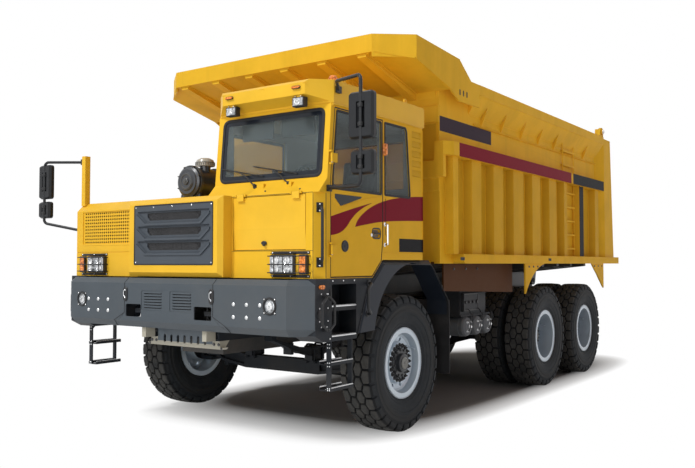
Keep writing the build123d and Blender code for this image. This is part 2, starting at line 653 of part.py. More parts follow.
# Clear lenses of the headlamps, bumper lamps and work lamps
with BuildPart() as lamp_lenses:
    for side in (-1, 1):
        lens = both(side, lamp_x[0] + lens_inset + seat_gap, lamp_x[1] - lens_inset - seat_gap)
        block(lens, (cab_front_y - lamp_depth - 4, cab_front_y - lamp_depth + 14.7),
              (lamp_z[0] + lens_inset + seat_gap, lamp_z[1] - lens_inset - seat_gap))
        turned([(0, 0), (2, fog_lamp_radius - 18), (5, fog_lamp_radius - 6), (7, fog_lamp_radius),
                (60, fog_lamp_radius), (60, 0)], (side * fog_lamp_x, bumper_face_y, fog_lamp_z), (0, 1, 0))
    for x in work_lamp_x:
        block((x - 53.7, x + 53.7), (work_lamp_y[0] - 5, work_lamp_y[0] + 9.7),
              (work_lamp_z[0] + 8.3, work_lamp_z[1] - 8.3))
save(lamp_lenses.part, "lamp_lenses")

# Amber lenses: front indicators, step markers, pillar lamp and beacon
pillar_lamp_y = door_rear_y + 29
with BuildPart() as indicators:
    for side in (-1, 1):
        lens = both(side, indicator_x[0] + lens_inset + seat_gap, indicator_x[1] - lens_inset - seat_gap)
        block(lens, (cab_front_y - lamp_depth - 4, cab_front_y - lamp_depth + 14.7),
              (lamp_z[0] + lens_inset + seat_gap, lamp_z[1] - lens_inset - seat_gap))
        with BuildSketch(Plane.YZ.offset(side * (step_side_x + seat_gap))) as marker:
            with Locations((bumper_face_y + 231, 1480)):
                SlotOverall(70, 34)
        extrude(marker.sketch, amount=14 * side)
    with BuildSketch(Plane.YZ.offset(cab_outer_x + seat_gap)) as pillar_lamp:
        with Locations((pillar_lamp_y, 2768)):
            RectangleRounded(44, 120, 14)
    extrude(pillar_lamp.sketch, amount=30, taper=12)
    turned([(roof_top_z + 20.3, 0), (roof_top_z + 20.3, 48), (roof_top_z + 80, 44), (roof_top_z + 105, 26),
            (roof_top_z + 110, 0)], (beacon_place[0], beacon_place[1], 0), (0, 0, 1))
save(indicators.part, "indicators")

# Fixed glass of the cab
glass_gap = 0.3
with BuildPart() as cab_glass:
    pane_plane = Plane(origin=(0, screen_line(screen_z[0], 2), screen_z[0]), x_dir=(1, 0, 0),
                       z_dir=Vector(0, screen_foot_z - cab_roof_z, screen_head_y - screen_foot_y))
    slope_length = hypot(screen_z[1] - screen_z[0], screen_line(screen_z[1], 0) - screen_line(screen_z[0], 0))
    with BuildSketch(pane_plane) as screen:
        with Locations(((screen_x[0] + screen_x[1]) / 2, slope_length / 2)):
            RectangleRounded(screen_x[1] - screen_x[0] - 2 * glass_gap, slope_length - 2.5, 30)
    extrude(screen.sketch, amount=-glass_thickness)
    side_prism(inset(quarter, glass_gap), (cab_outer_x - 14, cab_outer_x - 6))
    block((cab_inner_x + 6, cab_inner_x + 14), (right_window_y[0] + glass_gap, right_window_y[1] - glass_gap),
          (side_window_z[0] + glass_gap, side_window_z[1] - glass_gap))
    block((rear_window_x[0] + glass_gap, rear_window_x[1] - glass_gap), (cab_rear_y - 14, cab_rear_y - 6),
          (side_window_z[0] + glass_gap, side_window_z[1] - glass_gap))
save(cab_glass.part, "cab_glass")

# Driver's seat on its box, and the dash with its wheel
seat_x = 1050
seat_y = cab_front_y + 994
cab_deck_z = cab_arch_z + cab_wall
with BuildPart() as seat:
    block((seat_x - 210, seat_x + 210), (seat_y + 50, seat_y + 500), (cab_deck_z + seat_gap, cab_deck_z + 250))
    cushion = from_y(seat_y, [(0, 250), (-10, 330), (30, 372), (470, 352), (520, 250)])
    side_prism([(y, z + cab_deck_z) for y, z in cushion], (seat_x - 250, seat_x + 250))
    back = from_y(seat_y, [(380, 350), (500, 330), (620, 980), (590, 1020), (530, 1020), (500, 980)])
    side_prism([(y, z + cab_deck_z) for y, z in back], (seat_x - 240, seat_x + 240))
save(seat.part, "seat")

with BuildPart() as dashboard:
    dash = from_y(cab_front_y, [(164, 2100), (164, 2400), (274, 2430), (494, 2330), (494, 2180), (294, 2100)])
    side_prism(dash, (cab_inner_x + cab_wall + seat_gap, cab_outer_x - cab_wall - 60))
    column_start = (seat_x, cab_front_y + 434, 2250)
    column_end = (seat_x, cab_front_y + 704, 2420)
    tube_between(column_start, column_end, 24)
    wheel_plane = Plane(origin=column_end, z_dir=Vector(0, 270, 170))
    with BuildSketch(wheel_plane) as wheel:
        Circle(230)
        Circle(198, mode=Mode.SUBTRACT)
        Rectangle(440, 30)
        Rectangle(30, 440)
    extrude(wheel.sketch, amount=24, dir=wheel_plane.z_dir)
    block((seat_x - 60, seat_x + 60), (cab_front_y + 174, cab_front_y + 354),
          (cab_floor_z + cab_wall + seat_gap, 2110))
save(dashboard.part, "dashboard")

# Door panel and its pane
door_shape = inset(door_outline, running_gap)
window = [
    (door_front_y + 30, 2335), (door_front_y + 30, screen_foot_z + 4), (door_head_y + 28, door_head_z - 22),
    (door_rear_y - 24, door_head_z - 22), (door_rear_y - 24, 2335),
]
with BuildPart() as cab_door:
    side_prism(door_shape, (cab_outer_x - cab_wall, cab_outer_x))
    side_prism(window, doorway, Mode.SUBTRACT)
    with BuildSketch(Plane.YZ.offset(cab_outer_x)) as handle_dish:
        with Locations((door_rear_y - 110, 1962)):
            RectangleRounded(130, 80, 30)
    extrude(handle_dish.sketch, amount=-22, taper=20, mode=Mode.SUBTRACT)
    rod_y(cab_outer_x - 8, 1962, 9, (door_rear_y - 172, door_rear_y - 48))
    for z in hinge_leaf_z:
        rod_z(door_hinge_x, door_front_y - 4, 12, (z - 40, z + 40))
        block((door_hinge_x - 12, door_hinge_x), (door_front_y - 4, door_front_y + 80), (z - 40, z + 40))
        block((cab_outer_x - 4, cab_outer_x + 6), (door_front_y + 40, door_front_y + 80), (z - 40, z + 40))
        rod_z(door_hinge_x, door_front_y - 4, 5.3, (z - 45, z + 45), Mode.SUBTRACT)
save(cab_door.part, "cab_door")

with BuildPart() as door_glass:
    side_prism(inset(window, glass_gap), (cab_outer_x - 14, cab_outer_x - 6))
save(door_glass.part, "door_glass")

# Service flap on the cab's front, folded at its middle
flap_fold_z = 1992
with BuildPart() as cab_flap:
    flap_side = from_y(cab_front_y, [
        (0, flap_z[1] - running_gap), (flap_thickness, flap_z[1] - running_gap),
        (flap_thickness, flap_z[0] + running_gap), (12, flap_z[0] + running_gap), (0, flap_fold_z),
    ])
    side_prism(flap_side, (flap_x[0] + running_gap, flap_x[1] - running_gap))
    for x in (760, 1400):
        rod_x(flap_hinge_y, flap_hinge_z, 9, (x - 40, x + 40))
        block((x - 40, x + 40), (flap_hinge_y - 9, flap_hinge_y + 3), (flap_z[1] - 40, flap_hinge_z))
        block((x - 40, x + 40), (flap_hinge_y - 9, cab_front_y + 2), (flap_z[1] - 40, flap_z[1] - 16))
        rod_x(flap_hinge_y, flap_hinge_z, 4.3, (x - 45, x + 45), Mode.SUBTRACT)
save(cab_flap.part, "cab_flap")

# Grab handles: one at the cab's front corner and two loops at each step housing
handle_radius = 13
corner_x = cab_outer_x - corner_bevel[0] / 2
corner_y = cab_front_y + corner_bevel[1] / 2
loop_y = bumper_face_y + 270


def on_corner(out, along=0):
    """(x, y) at distances out from and along the cab's bevelled front corner."""
    run = hypot(*corner_bevel)
    in_x, in_y = corner_bevel[0] / run, corner_bevel[1] / run
    return (corner_x + out * in_y + along * in_x, corner_y - out * in_x + along * in_y)


with BuildPart() as step_loops:
    for turn in (-1, 1):
        start_y = loop_y + turn * 16
        loop = [
            (step_side_x + seat_gap, start_y, 1395), (step_side_x + 48, start_y, 1395),
            (step_side_x + 48, start_y + turn * 72, 1345), (step_side_x + 48, start_y + turn * 72, 1165),
            (step_side_x + 48, start_y, 1115), (step_side_x + seat_gap, start_y, 1115),
        ]
        bent_tube(loop, 18, handle_radius - 2)
with BuildPart() as grab_handles:
    add(step_loops.part)
    mirror(step_loops.part, about=Plane.YZ)
    bent_tube([(*on_corner(5), 2160), (*on_corner(62), 2160), (*on_corner(62), 1690), (*on_corner(5), 1690)],
              45, handle_radius)
    handle_foot = [on_corner(seat_gap, -30), on_corner(seat_gap, 30), on_corner(8, 30), on_corner(8, -30)]
    for z in (1690, 2160):
        plan_prism(handle_foot, (z - 42, z + 42))
save(grab_handles.part, "grab_handles")

# Mirrors: bent tube arms, with heads dished where the pole runs down their backs
mirror_tube_radius = 15
mirror_bend = 50
mirror_pole_y = cab_front_y - 76
left_pole_x = mirror_reach_x - 118
right_pole_x = -(mirror_reach_x - 105)
mirror_depth = (mirror_pole_y - 8, mirror_pole_y + 52)
# Heads as (inner X, outer X, low Z, high Z, pole X)
mirror_heads = [
    (mirror_reach_x - 245, mirror_reach_x, 2690, 3075, left_pole_x),
    (mirror_reach_x - 225, mirror_reach_x, 2400, 2600, left_pole_x),
    (-(mirror_reach_x - 205), -mirror_reach_x, 2400, 2780, right_pole_x),
    (-(mirror_reach_x - 195), -mirror_reach_x, 2185, 2370, right_pole_x),
]
with BuildPart() as mirrors:
    for inner_x, outer_x, low_z, high_z, pole_x in mirror_heads:
        middle = ((inner_x + outer_x) / 2, (low_z + high_z) / 2)
        with BuildSketch(Plane.XZ.offset(-mirror_depth[1])) as head:
            with Locations(middle):
                RectangleRounded(abs(outer_x - inner_x), high_z - low_z, 34)
        extrude(head.sketch, amount=34)
        with BuildSketch(Plane.XZ.offset(-mirror_depth[1] + 34)) as crown:
            with Locations(middle):
                RectangleRounded(abs(outer_x - inner_x), high_z - low_z, 34)
        extrude(crown.sketch, amount=26, taper=30)
        dish_z = (low_z + 0.22 * (high_z - low_z), high_z - 0.22 * (high_z - low_z))
        rod_z(pole_x, mirror_pole_y - 22, 44, dish_z, Mode.SUBTRACT)
    block((roof_side_x[1] + seat_gap, roof_side_x[1] + 26), (cab_front_y + 224, cab_front_y + 284), (3170, 3230))
    block((cab_outer_x + seat_gap, cab_outer_x + 26), (cab_front_y + 108, cab_front_y + 156), (2300, 2356))
    bent_tube([
        (roof_side_x[1] + 14, cab_front_y + 254, 3200), (roof_side_x[1] + 90, cab_front_y + 114, 3240),
        (left_pole_x, mirror_pole_y, 3210), (left_pole_x, mirror_pole_y, 2310),
        (cab_outer_x + 14, cab_front_y + 132, 2328),
    ], mirror_bend, mirror_tube_radius)
    block((post_x[0] - 26, post_x[0] - seat_gap), (cab_front_y + 46, cab_front_y + 106), (2760, 2820))
    block((hood_outer_x - 26, hood_outer_x - seat_gap), (cab_front_y + 99, cab_front_y + 159), (2000, 2060))
    bent_tube([
        (post_x[0] - 14, cab_front_y + 76, 2790), (right_pole_x, mirror_pole_y, 2810),
        (right_pole_x, mirror_pole_y, 2130), (hood_outer_x - 14, cab_front_y + 129, 2030),
    ], mirror_bend, mirror_tube_radius)
save(mirrors.part, "mirrors")

# Air cleaner lying along the hood, with its rain cap and intake pipe
cleaner_x = -260
cleaner_radius = 160
cleaner_z = hood_top_z + 24 + cleaner_radius
cleaner_y = cab_front_y + 284
with BuildPart() as air_cleaner:
    # Outline as (distance back from the front end, radius)
    can = [
        (0, 0), (0, 88), (10, 96), (10, 126), (22, 132), (34, 156), (70, 160), (92, 152), (404, 152),
        (426, 160), (450, 156), (470, 132), (500, 120), (500, 0),
    ]
    turned(can, (cleaner_x, cleaner_y, cleaner_z), (0, 1, 0))
    for y in (cleaner_y + 80, cleaner_y + 420):
        turned([(y - 14, 0), (y - 14, 166), (y + 14, 166), (y + 14, 0)], (cleaner_x, 0, cleaner_z), (0, 1, 0))
        foot = [(cleaner_x - 150, hood_top_z + seat_gap), (cleaner_x + 150, hood_top_z + seat_gap),
                (cleaner_x + 110, cleaner_z - 60), (cleaner_x - 110, cleaner_z - 60)]
        front_prism(foot, (y - 18, y + 18))
    # Outline as (height, radius)
    cap = [(cleaner_z + 80, 0), (cleaner_z + 80, 56), (cleaner_z + 170, 56), (cleaner_z + 170, 98),
           (cleaner_z + 205, 98), (cleaner_z + 235, 84), (cleaner_z + 252, 50), (cleaner_z + 256, 0)]
    turned(cap, (cleaner_x + 60, cleaner_y + 210, 0), (0, 0, 1))
    bent_tube([
        (cleaner_x, cleaner_y + 495, cleaner_z), (cleaner_x, cleaner_y + 760, cleaner_z),
        (cleaner_x - 420, cleaner_y + 760, cleaner_z), (cleaner_x - 420, cleaner_y + 760, hood_top_z + seat_gap),
    ], 110, 66)
save(air_cleaner.part, "air_cleaner")

# Steps: a recessed housing each side with a hanging ladder below
housing_front_y = bumper_back_y + seat_gap
housing_z = (1010, cab_floor_z - seat_gap)
recess_y = (bumper_face_y + 382, bumper_face_y + 756)
ladder_y = (bumper_face_y + 376, bumper_face_y + 708)
housing_rear_y = bumper_face_y + 765
tread_z = (596, 816)
with BuildPart() as steps:
    for side in (-1, 1):
        housing = [
            (housing_front_y, housing_z[0] + 60), (housing_front_y, housing_z[1]), (cab_arch_foot_y, housing_z[1]),
            (cab_arch_foot_y - 88, 1470), (housing_rear_y, 1050), (housing_rear_y, housing_z[0]),
            (housing_front_y + 120, housing_z[0]),
        ]
        side_prism(housing, both(side, step_inner_x, step_side_x))
        block(both(side, step_inner_x + 60, step_side_x + 5), recess_y, (1050, 1500), Mode.SUBTRACT)
        block(both(side, step_inner_x + 50, step_side_x - 5), (recess_y[0] - 2, recess_y[1] + 2), (1295, 1308))
        block(both(side, step_side_x - 12, step_side_x - 2), (recess_y[0] - 2, recess_y[1] + 2), (1270, 1308))
        for y in (ladder_y[0], ladder_y[1] - 14):
            block(both(side, 1590, step_side_x - 8), (y, y + 14), (585, housing_z[0] + 2))
        for z in tread_z:
            block(both(side, 1515, step_side_x), ladder_y, (z - 14, z - 8))
            block(both(side, step_side_x - 6, step_side_x), ladder_y, (z - 14, z + 14))
            block(both(side, 1515, 1521), ladder_y, (z - 14, z + 14))
            with Locations((side * 1580, (ladder_y[0] + ladder_y[1]) / 2, z)):
                with GridLocations(44, 60, 2, 5):
                    Cylinder(12, 30, mode=Mode.SUBTRACT)
        brace = [(ladder_y[0] + 14, housing_z[0] + 1), (ladder_y[0] + 14, 960), (ladder_y[0] + 70, housing_z[0] + 1)]
        side_prism(brace, both(side, 1600, 1610))
save(steps.part, "steps")

# Fenders: sheet arch with a bevelled outer edge, and flaps behind the front wheels
fender_bevel = 42
fender_outer = [
    (housing_rear_y + 0.7, 1050), (cab_arch_foot_y - 87.4, 1470), (cab_arch_y + 6, cab_arch_z - seat_gap),
    (front_axle_y + 417, cab_arch_z - seat_gap), (flap_y, 1290), (flap_y, 1130),
]
fender_hollow = [
    (housing_rear_y + 14, 1049), (cab_arch_foot_y - 76, 1462), (cab_arch_y + 10, 1703),
    (front_axle_y + 412, 1703), (flap_y - 12, 1285), (flap_y - 12, 1049),
]
arch_start = (front_axle_y - 690, 1040)
arch_mid = (front_axle_y - 440, 1500)
arch_end = (front_axle_y + 230, 1664)
with BuildPart() as fenders:
    for side in (-1, 1):
        side_prism(fender_outer, both(side, fender_inner_x, fender_side_x))
    rim_edges = [e for face in (fenders.faces().sort_by(Axis.X)[0], fenders.faces().sort_by(Axis.X)[-1])
                 for e in face.edges() if e.center().Z > 1140]
    chamfer(rim_edges, length=fender_bevel)
    for side in (-1, 1):
        side_prism(fender_hollow, both(side, fender_inner_x - 5, fender_side_x - fender_bevel - 4), Mode.SUBTRACT)
        with BuildSketch(Plane.YZ.offset(side * fender_side_x)) as arch:
            with BuildLine():
                ThreePointArc(arch_start, arch_mid, arch_end)
                Polyline(arch_end, (front_axle_y + 426, 1664), (flap_y - fender_sheet, 1272),
                         (flap_y - fender_sheet, 1040), arch_start)
            make_face()
        extrude(arch.sketch, amount=-side * 300, mode=Mode.SUBTRACT)
save(fenders.part, "fenders")

with BuildPart() as mud_flaps:
    for side in (-1, 1):
        block(both(side, 1250, 1645), (flap_y + seat_gap, flap_y + 11), (490, 1285))
        block(both(side, 1262, 1633), (flap_y + 11, flap_y + 17), (1180, 1230))
save(mud_flaps.part, "mud_flaps")

# Fuel tank on the right, air tanks and valve box on the left, in the bay between the axles
bay_end_y = mid_axle_y - tyre_radius
with BuildPart() as fuel_tank:
    tank_y = (part_way(flap_y, bay_end_y, 0.103), part_way(flap_y, bay_end_y, 0.709))
    with BuildSketch(Plane.XZ.offset(-tank_y[0])) as tank_section:
        with Locations((-1150, 1010)):
            RectangleRounded(560, 560, 90)
    extrude(tank_section.sketch, amount=tank_y[1] - tank_y[0], dir=(0, 1, 0))
    for share in (0.12, 0.46, 0.88):
        y = part_way(tank_y[0], tank_y[1], share)
        with BuildSketch(Plane.XZ.offset(-y + 25)) as strap:
            with Locations((-1150, 1010)):
                RectangleRounded(572, 572, 96)
        extrude(strap.sketch, amount=50, dir=(0, 1, 0))
    bracket = [(-875, 740), (-875, 1290), (-rail_outer_x - seat_gap, 1290), (-rail_outer_x - seat_gap, 990)]
    for share in (0.12, 0.46):
        y = part_way(tank_y[0], tank_y[1], share)
        front_prism(bracket, (y - 12, y + 12))
    rod_z(-1280, tank_y[0] + 130, 48, (1285, 1330))
save(fuel_tank.part, "fuel_tank")

tank_pitch = 0.125 * (bay_end_y - flap_y)
tank_radius = 0.43 * tank_pitch
tank_start_y = part_way(flap_y, bay_end_y, 0.4)
with BuildPart() as air_tanks:
    for n in range(3):
        # Outline as (X, radius): domed ends on a round tank
        drum = [
            (900, 0), (905, 0.6 * tank_radius), (925, 0.9 * tank_radius), (950, tank_radius),
            (1400, tank_radius), (1425, 0.9 * tank_radius), (1445, 0.6 * tank_radius), (1450, 0),
        ]
        turned(drum, (0, tank_start_y + n * tank_pitch, 932), (1, 0, 0))
        for x in (1010, 1340):
            band = [(x - 15, 0), (x - 15, tank_radius + 4), (x + 15, tank_radius + 4), (x + 15, 0)]
            turned(band, (0, tank_start_y + n * tank_pitch, 932), (1, 0, 0))
    rack_y = (tank_start_y - 0.43 * tank_pitch, tank_start_y + 2.43 * tank_pitch)
    block((900, 1400), rack_y, (1050, 1070))
    block((960, 1385), (rack_y[0], rack_y[1] - 0.4 * tank_pitch), (1069, 1360))
    block((1384, 1420), (rack_y[0] + 30, rack_y[1] - 0.6 * tank_pitch), (1110, 1330))
    for y in (rack_y[0] + 20, rack_y[0] + 110):
        hanger = [(rail_outer_x + seat_gap, 1080), (rail_outer_x + seat_gap, 1240), (965, 1240), (965, 1060)]
        front_prism(hanger, (y, y + 20))
    for y in (rack_y[1] - 0.3 * tank_pitch, rack_y[1] - 0.08 * tank_pitch):
        rod_z(1230, y, 34, (1068, 1170))
save(air_tanks.part, "air_tanks")

# Front axle beam and the leaf springs of every axle
front_pad_z = 690
with BuildPart() as front_axle:
    beam = [
        (-kingpin_x, 596), (-kingpin_x, 790), (-1000, 790), (-880, 700), (-520, 640), (520, 640),
        (880, 700), (1000, 790), (kingpin_x, 790), (kingpin_x, 596), (1000, 596), (860, 540),
        (520, 490), (-520, 490), (-860, 540), (-1000, 596),
    ]
    front_prism(beam, (front_axle_y - 60, front_axle_y + 60))
    for side in (-1, 1):
        web_cut = [(side * 960, 625), (side * 870, 575), (side * 540, 525), (side * 540, 605), (side * 860, 660),
                   (side * 960, 740)]
        for y in ((front_axle_y - 61, front_axle_y - 28), (front_axle_y + 28, front_axle_y + 61)):
            front_prism(web_cut, y, Mode.SUBTRACT)
        block(both(side, 380, 480), (front_axle_y - 110, front_axle_y + 110), (640, front_pad_z))
        rod_z(side * kingpin_x, front_axle_y, 62, (596, 790))
        rod_z(side * kingpin_x, front_axle_y, kingpin_radius + pin_clearance, (500, 900), Mode.SUBTRACT)
save(front_axle.part, "front_axle")

axle_pad_z = axle_z + 112
with BuildPart() as leaf_springs:
    front_leaves = from_y(front_axle_y, [
        (-760, 905), (-760, 930), (-300, 800), (0, 770), (300, 800), (760, 930), (760, 905), (300, 740),
        (110, front_pad_z + seat_gap), (-110, front_pad_z + seat_gap), (-300, 740),
    ])
    rear_leaves = [
        (mid_axle_y - 60, axle_pad_z + seat_gap), (mid_axle_y - 60, 840), (bogie_y - 300, 1020),
        (bogie_y + 300, 1020), (rear_axle_y + 60, 840), (rear_axle_y + 60, axle_pad_z + seat_gap),
        (rear_axle_y - 60, axle_pad_z + seat_gap), (bogie_y + 260, 860), (bogie_y - 260, 860),
        (mid_axle_y + 60, axle_pad_z + seat_gap),
    ]
    for side in (-1, 1):
        side_prism(front_leaves, both(side, 385, 475))
        for y in (front_axle_y - 740, front_axle_y + 740):
            block(both(side, 385, 475), (y - 40, y + 40), (900, rail_bottom_z - seat_gap))
        side_prism(rear_leaves, both(side, 545, 650))
        rod_x(bogie_y, 900, 70, both(side, rail_outer_x + seat_gap, 700))
        saddle = [(bogie_y - 90, 820), (bogie_y - 190, 1200), (bogie_y + 190, 1200), (bogie_y + 90, 820)]
        side_prism(saddle, both(side, rail_outer_x + seat_gap, 546))
save(leaf_springs.part, "leaf_springs")

# Knuckles: a yoke about the kingpin, a spindle and a steering arm
spindle_radius = 60
spindle_end_x = 1520
hub_inner_x = 1262
hub_gap = 0.5
with BuildPart() as knuckle_left:
    block((1040, 1225), (front_axle_y - 70, front_axle_y + 70), (796, 830))
    block((1040, 1225), (front_axle_y - 70, front_axle_y + 70), (540, 584))
    block((1171, 1225), (front_axle_y - 70, front_axle_y + 70), (540, 830))
    rod_z(kingpin_x, front_axle_y, kingpin_radius, (560, 810))
    rod_x(front_axle_y, axle_z, spindle_radius, (1220, spindle_end_x))
    arm = [
        (kingpin_x - 50, front_axle_y + 40), (kingpin_x + 50, front_axle_y + 40),
        (arm_end_x + 45, front_axle_y + arm_length + 45), (arm_end_x - 45, front_axle_y + arm_length + 45),
    ]
    plan_prism(arm, (540, 565))
save(knuckle_left.part, "knuckle_left")

with BuildPart() as knuckle_right:
    mirror(knuckle_left.part, about=Plane.YZ)
save(knuckle_right.part, "knuckle_right")

tie_rod_y = front_axle_y + arm_length
with BuildPart() as tie_rod:
    rod_x(tie_rod_y, 480, 22, (-arm_end_x, arm_end_x))
    for side in (-1, 1):
        rod_z(side * arm_end_x, tie_rod_y, 38, (452, 540 - 0.5))
save(tie_rod.part, "tie_rod")

# Drive axles: banjo housings with their spindles, and the shafts between them
flange_reach = 330
flange_tail = 240
axle_end_radius = 80
shaft_z = axle_z + 20
with BuildPart() as drive_axles:
    for y in (mid_axle_y, rear_axle_y):
        # Outline as (X, radius) from the centre to the hub
        housing = [
            (-1420, 0), (-1420, axle_end_radius), (-1040, axle_end_radius), (-1040, 105), (-480, 105), (-260, 165),
            (-120, 225), (120, 225), (260, 165), (480, 105), (1040, 105), (1040, axle_end_radius),
            (1420, axle_end_radius), (1420, 0),
        ]
        turned(housing, (0, y, axle_z), (1, 0, 0))
        nose = [(y - flange_reach, 0), (y - flange_reach, 90), (y - 280, 90), (y - 200, 150), (y, 180),
                (y + 150, 150), (y + flange_tail - 20, 80), (y + flange_tail, 70), (y + flange_tail, 0)]
        turned(nose, (0, 0, shaft_z), (0, 1, 0))
        for side in (-1, 1):
            block(both(side, 540, 655), (y - 90, y + 90), (axle_z + 60, axle_pad_z))
save(drive_axles.part, "drive_axles")

with BuildPart() as drive_shafts:
    for start_y, start_z, end_y in ((gearbox_end_y, 900, mid_axle_y - flange_reach),
                                    (mid_axle_y + flange_tail, shaft_z, rear_axle_y - flange_reach)):
        rod_y(0, start_z, 75, (start_y + seat_gap, start_y + 30))
        rod_y(0, shaft_z, 75, (end_y - 30, end_y - seat_gap))
        tube_between((0, start_y + 20, start_z), (0, end_y - 20, shaft_z), 50)
save(drive_shafts.part, "drive_shafts")

# One tyre and one rim are made at the origin, turned about X, and placed at each wheel
tread_radius = tyre_radius - lug_height
lug_stagger = 180 / lugs_per_row
lug_top = (tyre_radius - lug_length / 2 * sin(radians(lug_stagger))) / cos(radians(lug_stagger))
wheel_plane = Plane(origin=(0, 0, 0), x_dir=(1, 0, 0), z_dir=(0, -1, 0))
with BuildPart() as tyre_form:
    with BuildSketch(wheel_plane) as section:
        with BuildLine():
            for side in (-1, 1):
                Polyline((0, bead_radius), (side * bead_half, bead_radius), (side * bead_half, bead_radius + 34),
                         (side * 158, bead_radius + 78))
                ThreePointArc((side * 158, bead_radius + 78), (side * tyre_half_width, 505), (side * 172, 606))
                Polyline((side * 172, 606), (side * 156, 646))
                ThreePointArc((side * 156, 646), (side * 80, tread_radius - 4), (0, tread_radius))
        make_face()
    revolve(section.sketch, axis=Axis.X)
    for side in (-1, 1):
        turn = 0 if side > 0 else lug_stagger
        # Shoulder lug as (X, radius), as long as lug_length round the tyre
        lug = [(side * 34, 640), (side * 34, lug_top), (side * 152, lug_top), (side * 181, 636), (side * 172, 598)]
        with BuildSketch(Plane.XZ.offset(-lug_length / 2)) as lug_section:
            with BuildLine():
                Polyline(*lug, close=True)
            make_face()
        with BuildPart(mode=Mode.PRIVATE) as one_lug:
            extrude(lug_section.sketch, amount=lug_length)
        lugs = [one_lug.part.rotate(Axis.X, 180 + turn + n * 360 / lugs_per_row) for n in range(lugs_per_row)]
        add(lugs)

rim_section = [
    (-rim_half_width, rim_well_radius), (-rim_half_width, rim_flange_radius),
    (-bead_half - 5, rim_flange_radius), (-bead_half - seat_gap, bead_radius + 31),
    (-bead_half - seat_gap, bead_radius - seat_gap), (bead_half + seat_gap, bead_radius - seat_gap),
    (bead_half + seat_gap, bead_radius + 31), (bead_half + 5, rim_flange_radius),
    (rim_half_width, rim_flange_radius), (rim_half_width, rim_well_radius),
]
front_disc = [
    (rim_half_width - 40, rim_well_radius - 10), (78, 284), (64, 262), (52, 214), (62, 204), (98, 198), (98, 150),
    (118, 142), (118, 96), (150, 90), (156, 74), (156, 0), (spindle_end_x + 5 - front_track_x, 0),
    (spindle_end_x + 5 - front_track_x, spindle_radius + hub_gap),
    (hub_inner_x - front_track_x, spindle_radius + hub_gap), (hub_inner_x - front_track_x, 150),
    (-10, 180), (26, 240), (36, rim_well_radius - 8),
]
hand_holes = 10
with BuildPart() as front_rim_form:
    turned(rim_section + front_disc, (0, 0, 0), (1, 0, 0))
    with BuildSketch(Plane.YZ) as hand_hole:
        with PolarLocations(238, hand_holes):
            Circle(20)
    extrude(hand_hole.sketch, amount=120, mode=Mode.SUBTRACT)

# The twin rim, with its zero at the middle between the two tyres
half_pitch = twin_spacing / 2
inner_rim = [(x - half_pitch, radius) for x, radius in rim_section]
outer_rim = [(x + half_pitch, radius) for x, radius in rim_section]
twin_disc = [
    (60, rim_well_radius - 10), (34, 280), (22, 236), (22, 190), (150, 182), (186, 176), (186, 128),
    (218, 122), (218, 92), (232, 80), (232, 0), (182, 0), (180, axle_end_radius + hub_gap),
    (-190, axle_end_radius + hub_gap), (-190, 176), (-22, 192), (-22, 240), (-34, rim_well_radius - 8),
]
with BuildPart() as twin_rim_form:
    turned(inner_rim + outer_rim[1:] + twin_disc, (0, 0, 0), (1, 0, 0))

# Wheels: each tyre and rim is one piece of its own, twins share a node
wheel_stations = [("front", front_axle_y), ("mid", mid_axle_y), ("rear", rear_axle_y)]
for station, station_y in wheel_stations:
    tyre_centres = [front_track_x] if station == "front" else [inner_twin_x, outer_twin_x]
    rim_form = front_rim_form if station == "front" else twin_rim_form
    rim_centre = front_track_x if station == "front" else twin_mid_x
    for side_name, side in (("left", 1), ("right", -1)):
        with BuildPart() as tyre:
            for centre in tyre_centres:
                add(tyre_form.part.moved(Location((side * centre, station_y, axle_z))))
        save(tyre.part, f"tyre_{station}_{side_name}")
        with BuildPart() as rim:
            outward = rim_form.part if side > 0 else rim_form.part.mirror(Plane.YZ)
            add(outward.moved(Location((side * rim_centre, station_y, axle_z))))
        save(rim.part, f"rim_{station}_{side_name}")

# Bed tub: floor, ribbed sides, stepped front wall and rails
bed_side_length = bed_rear_y - bed_front_y


def bed_at(share):
    """Y at a share of the bed's side, from its front wall."""
    return bed_front_y + share * bed_side_length


# Ribs as (front share, rear share) of the side's length
rib_spans = [
    (0.0989, 0.1393), (0.1973, 0.2432), (0.2964, 0.3498), (0.4003, 0.4473), (0.5038, 0.5486), (0.6020, 0.6227),
    (0.7147, 0.7445), (0.8384, 0.8665),
]
ladder_bay = (0.6227, 0.7147)
rib_flare = 26
rib_bottom_z = bottom_rail_z + bottom_rail_height - 1
post_front_y = bed_at(0.8865)
post_face_y = bed_at(0.9214)
beam_tail_y = bed_at(0.893)
rail_front = bed_at(0.0463)
overhang_front_y = bed_at(0.1182)

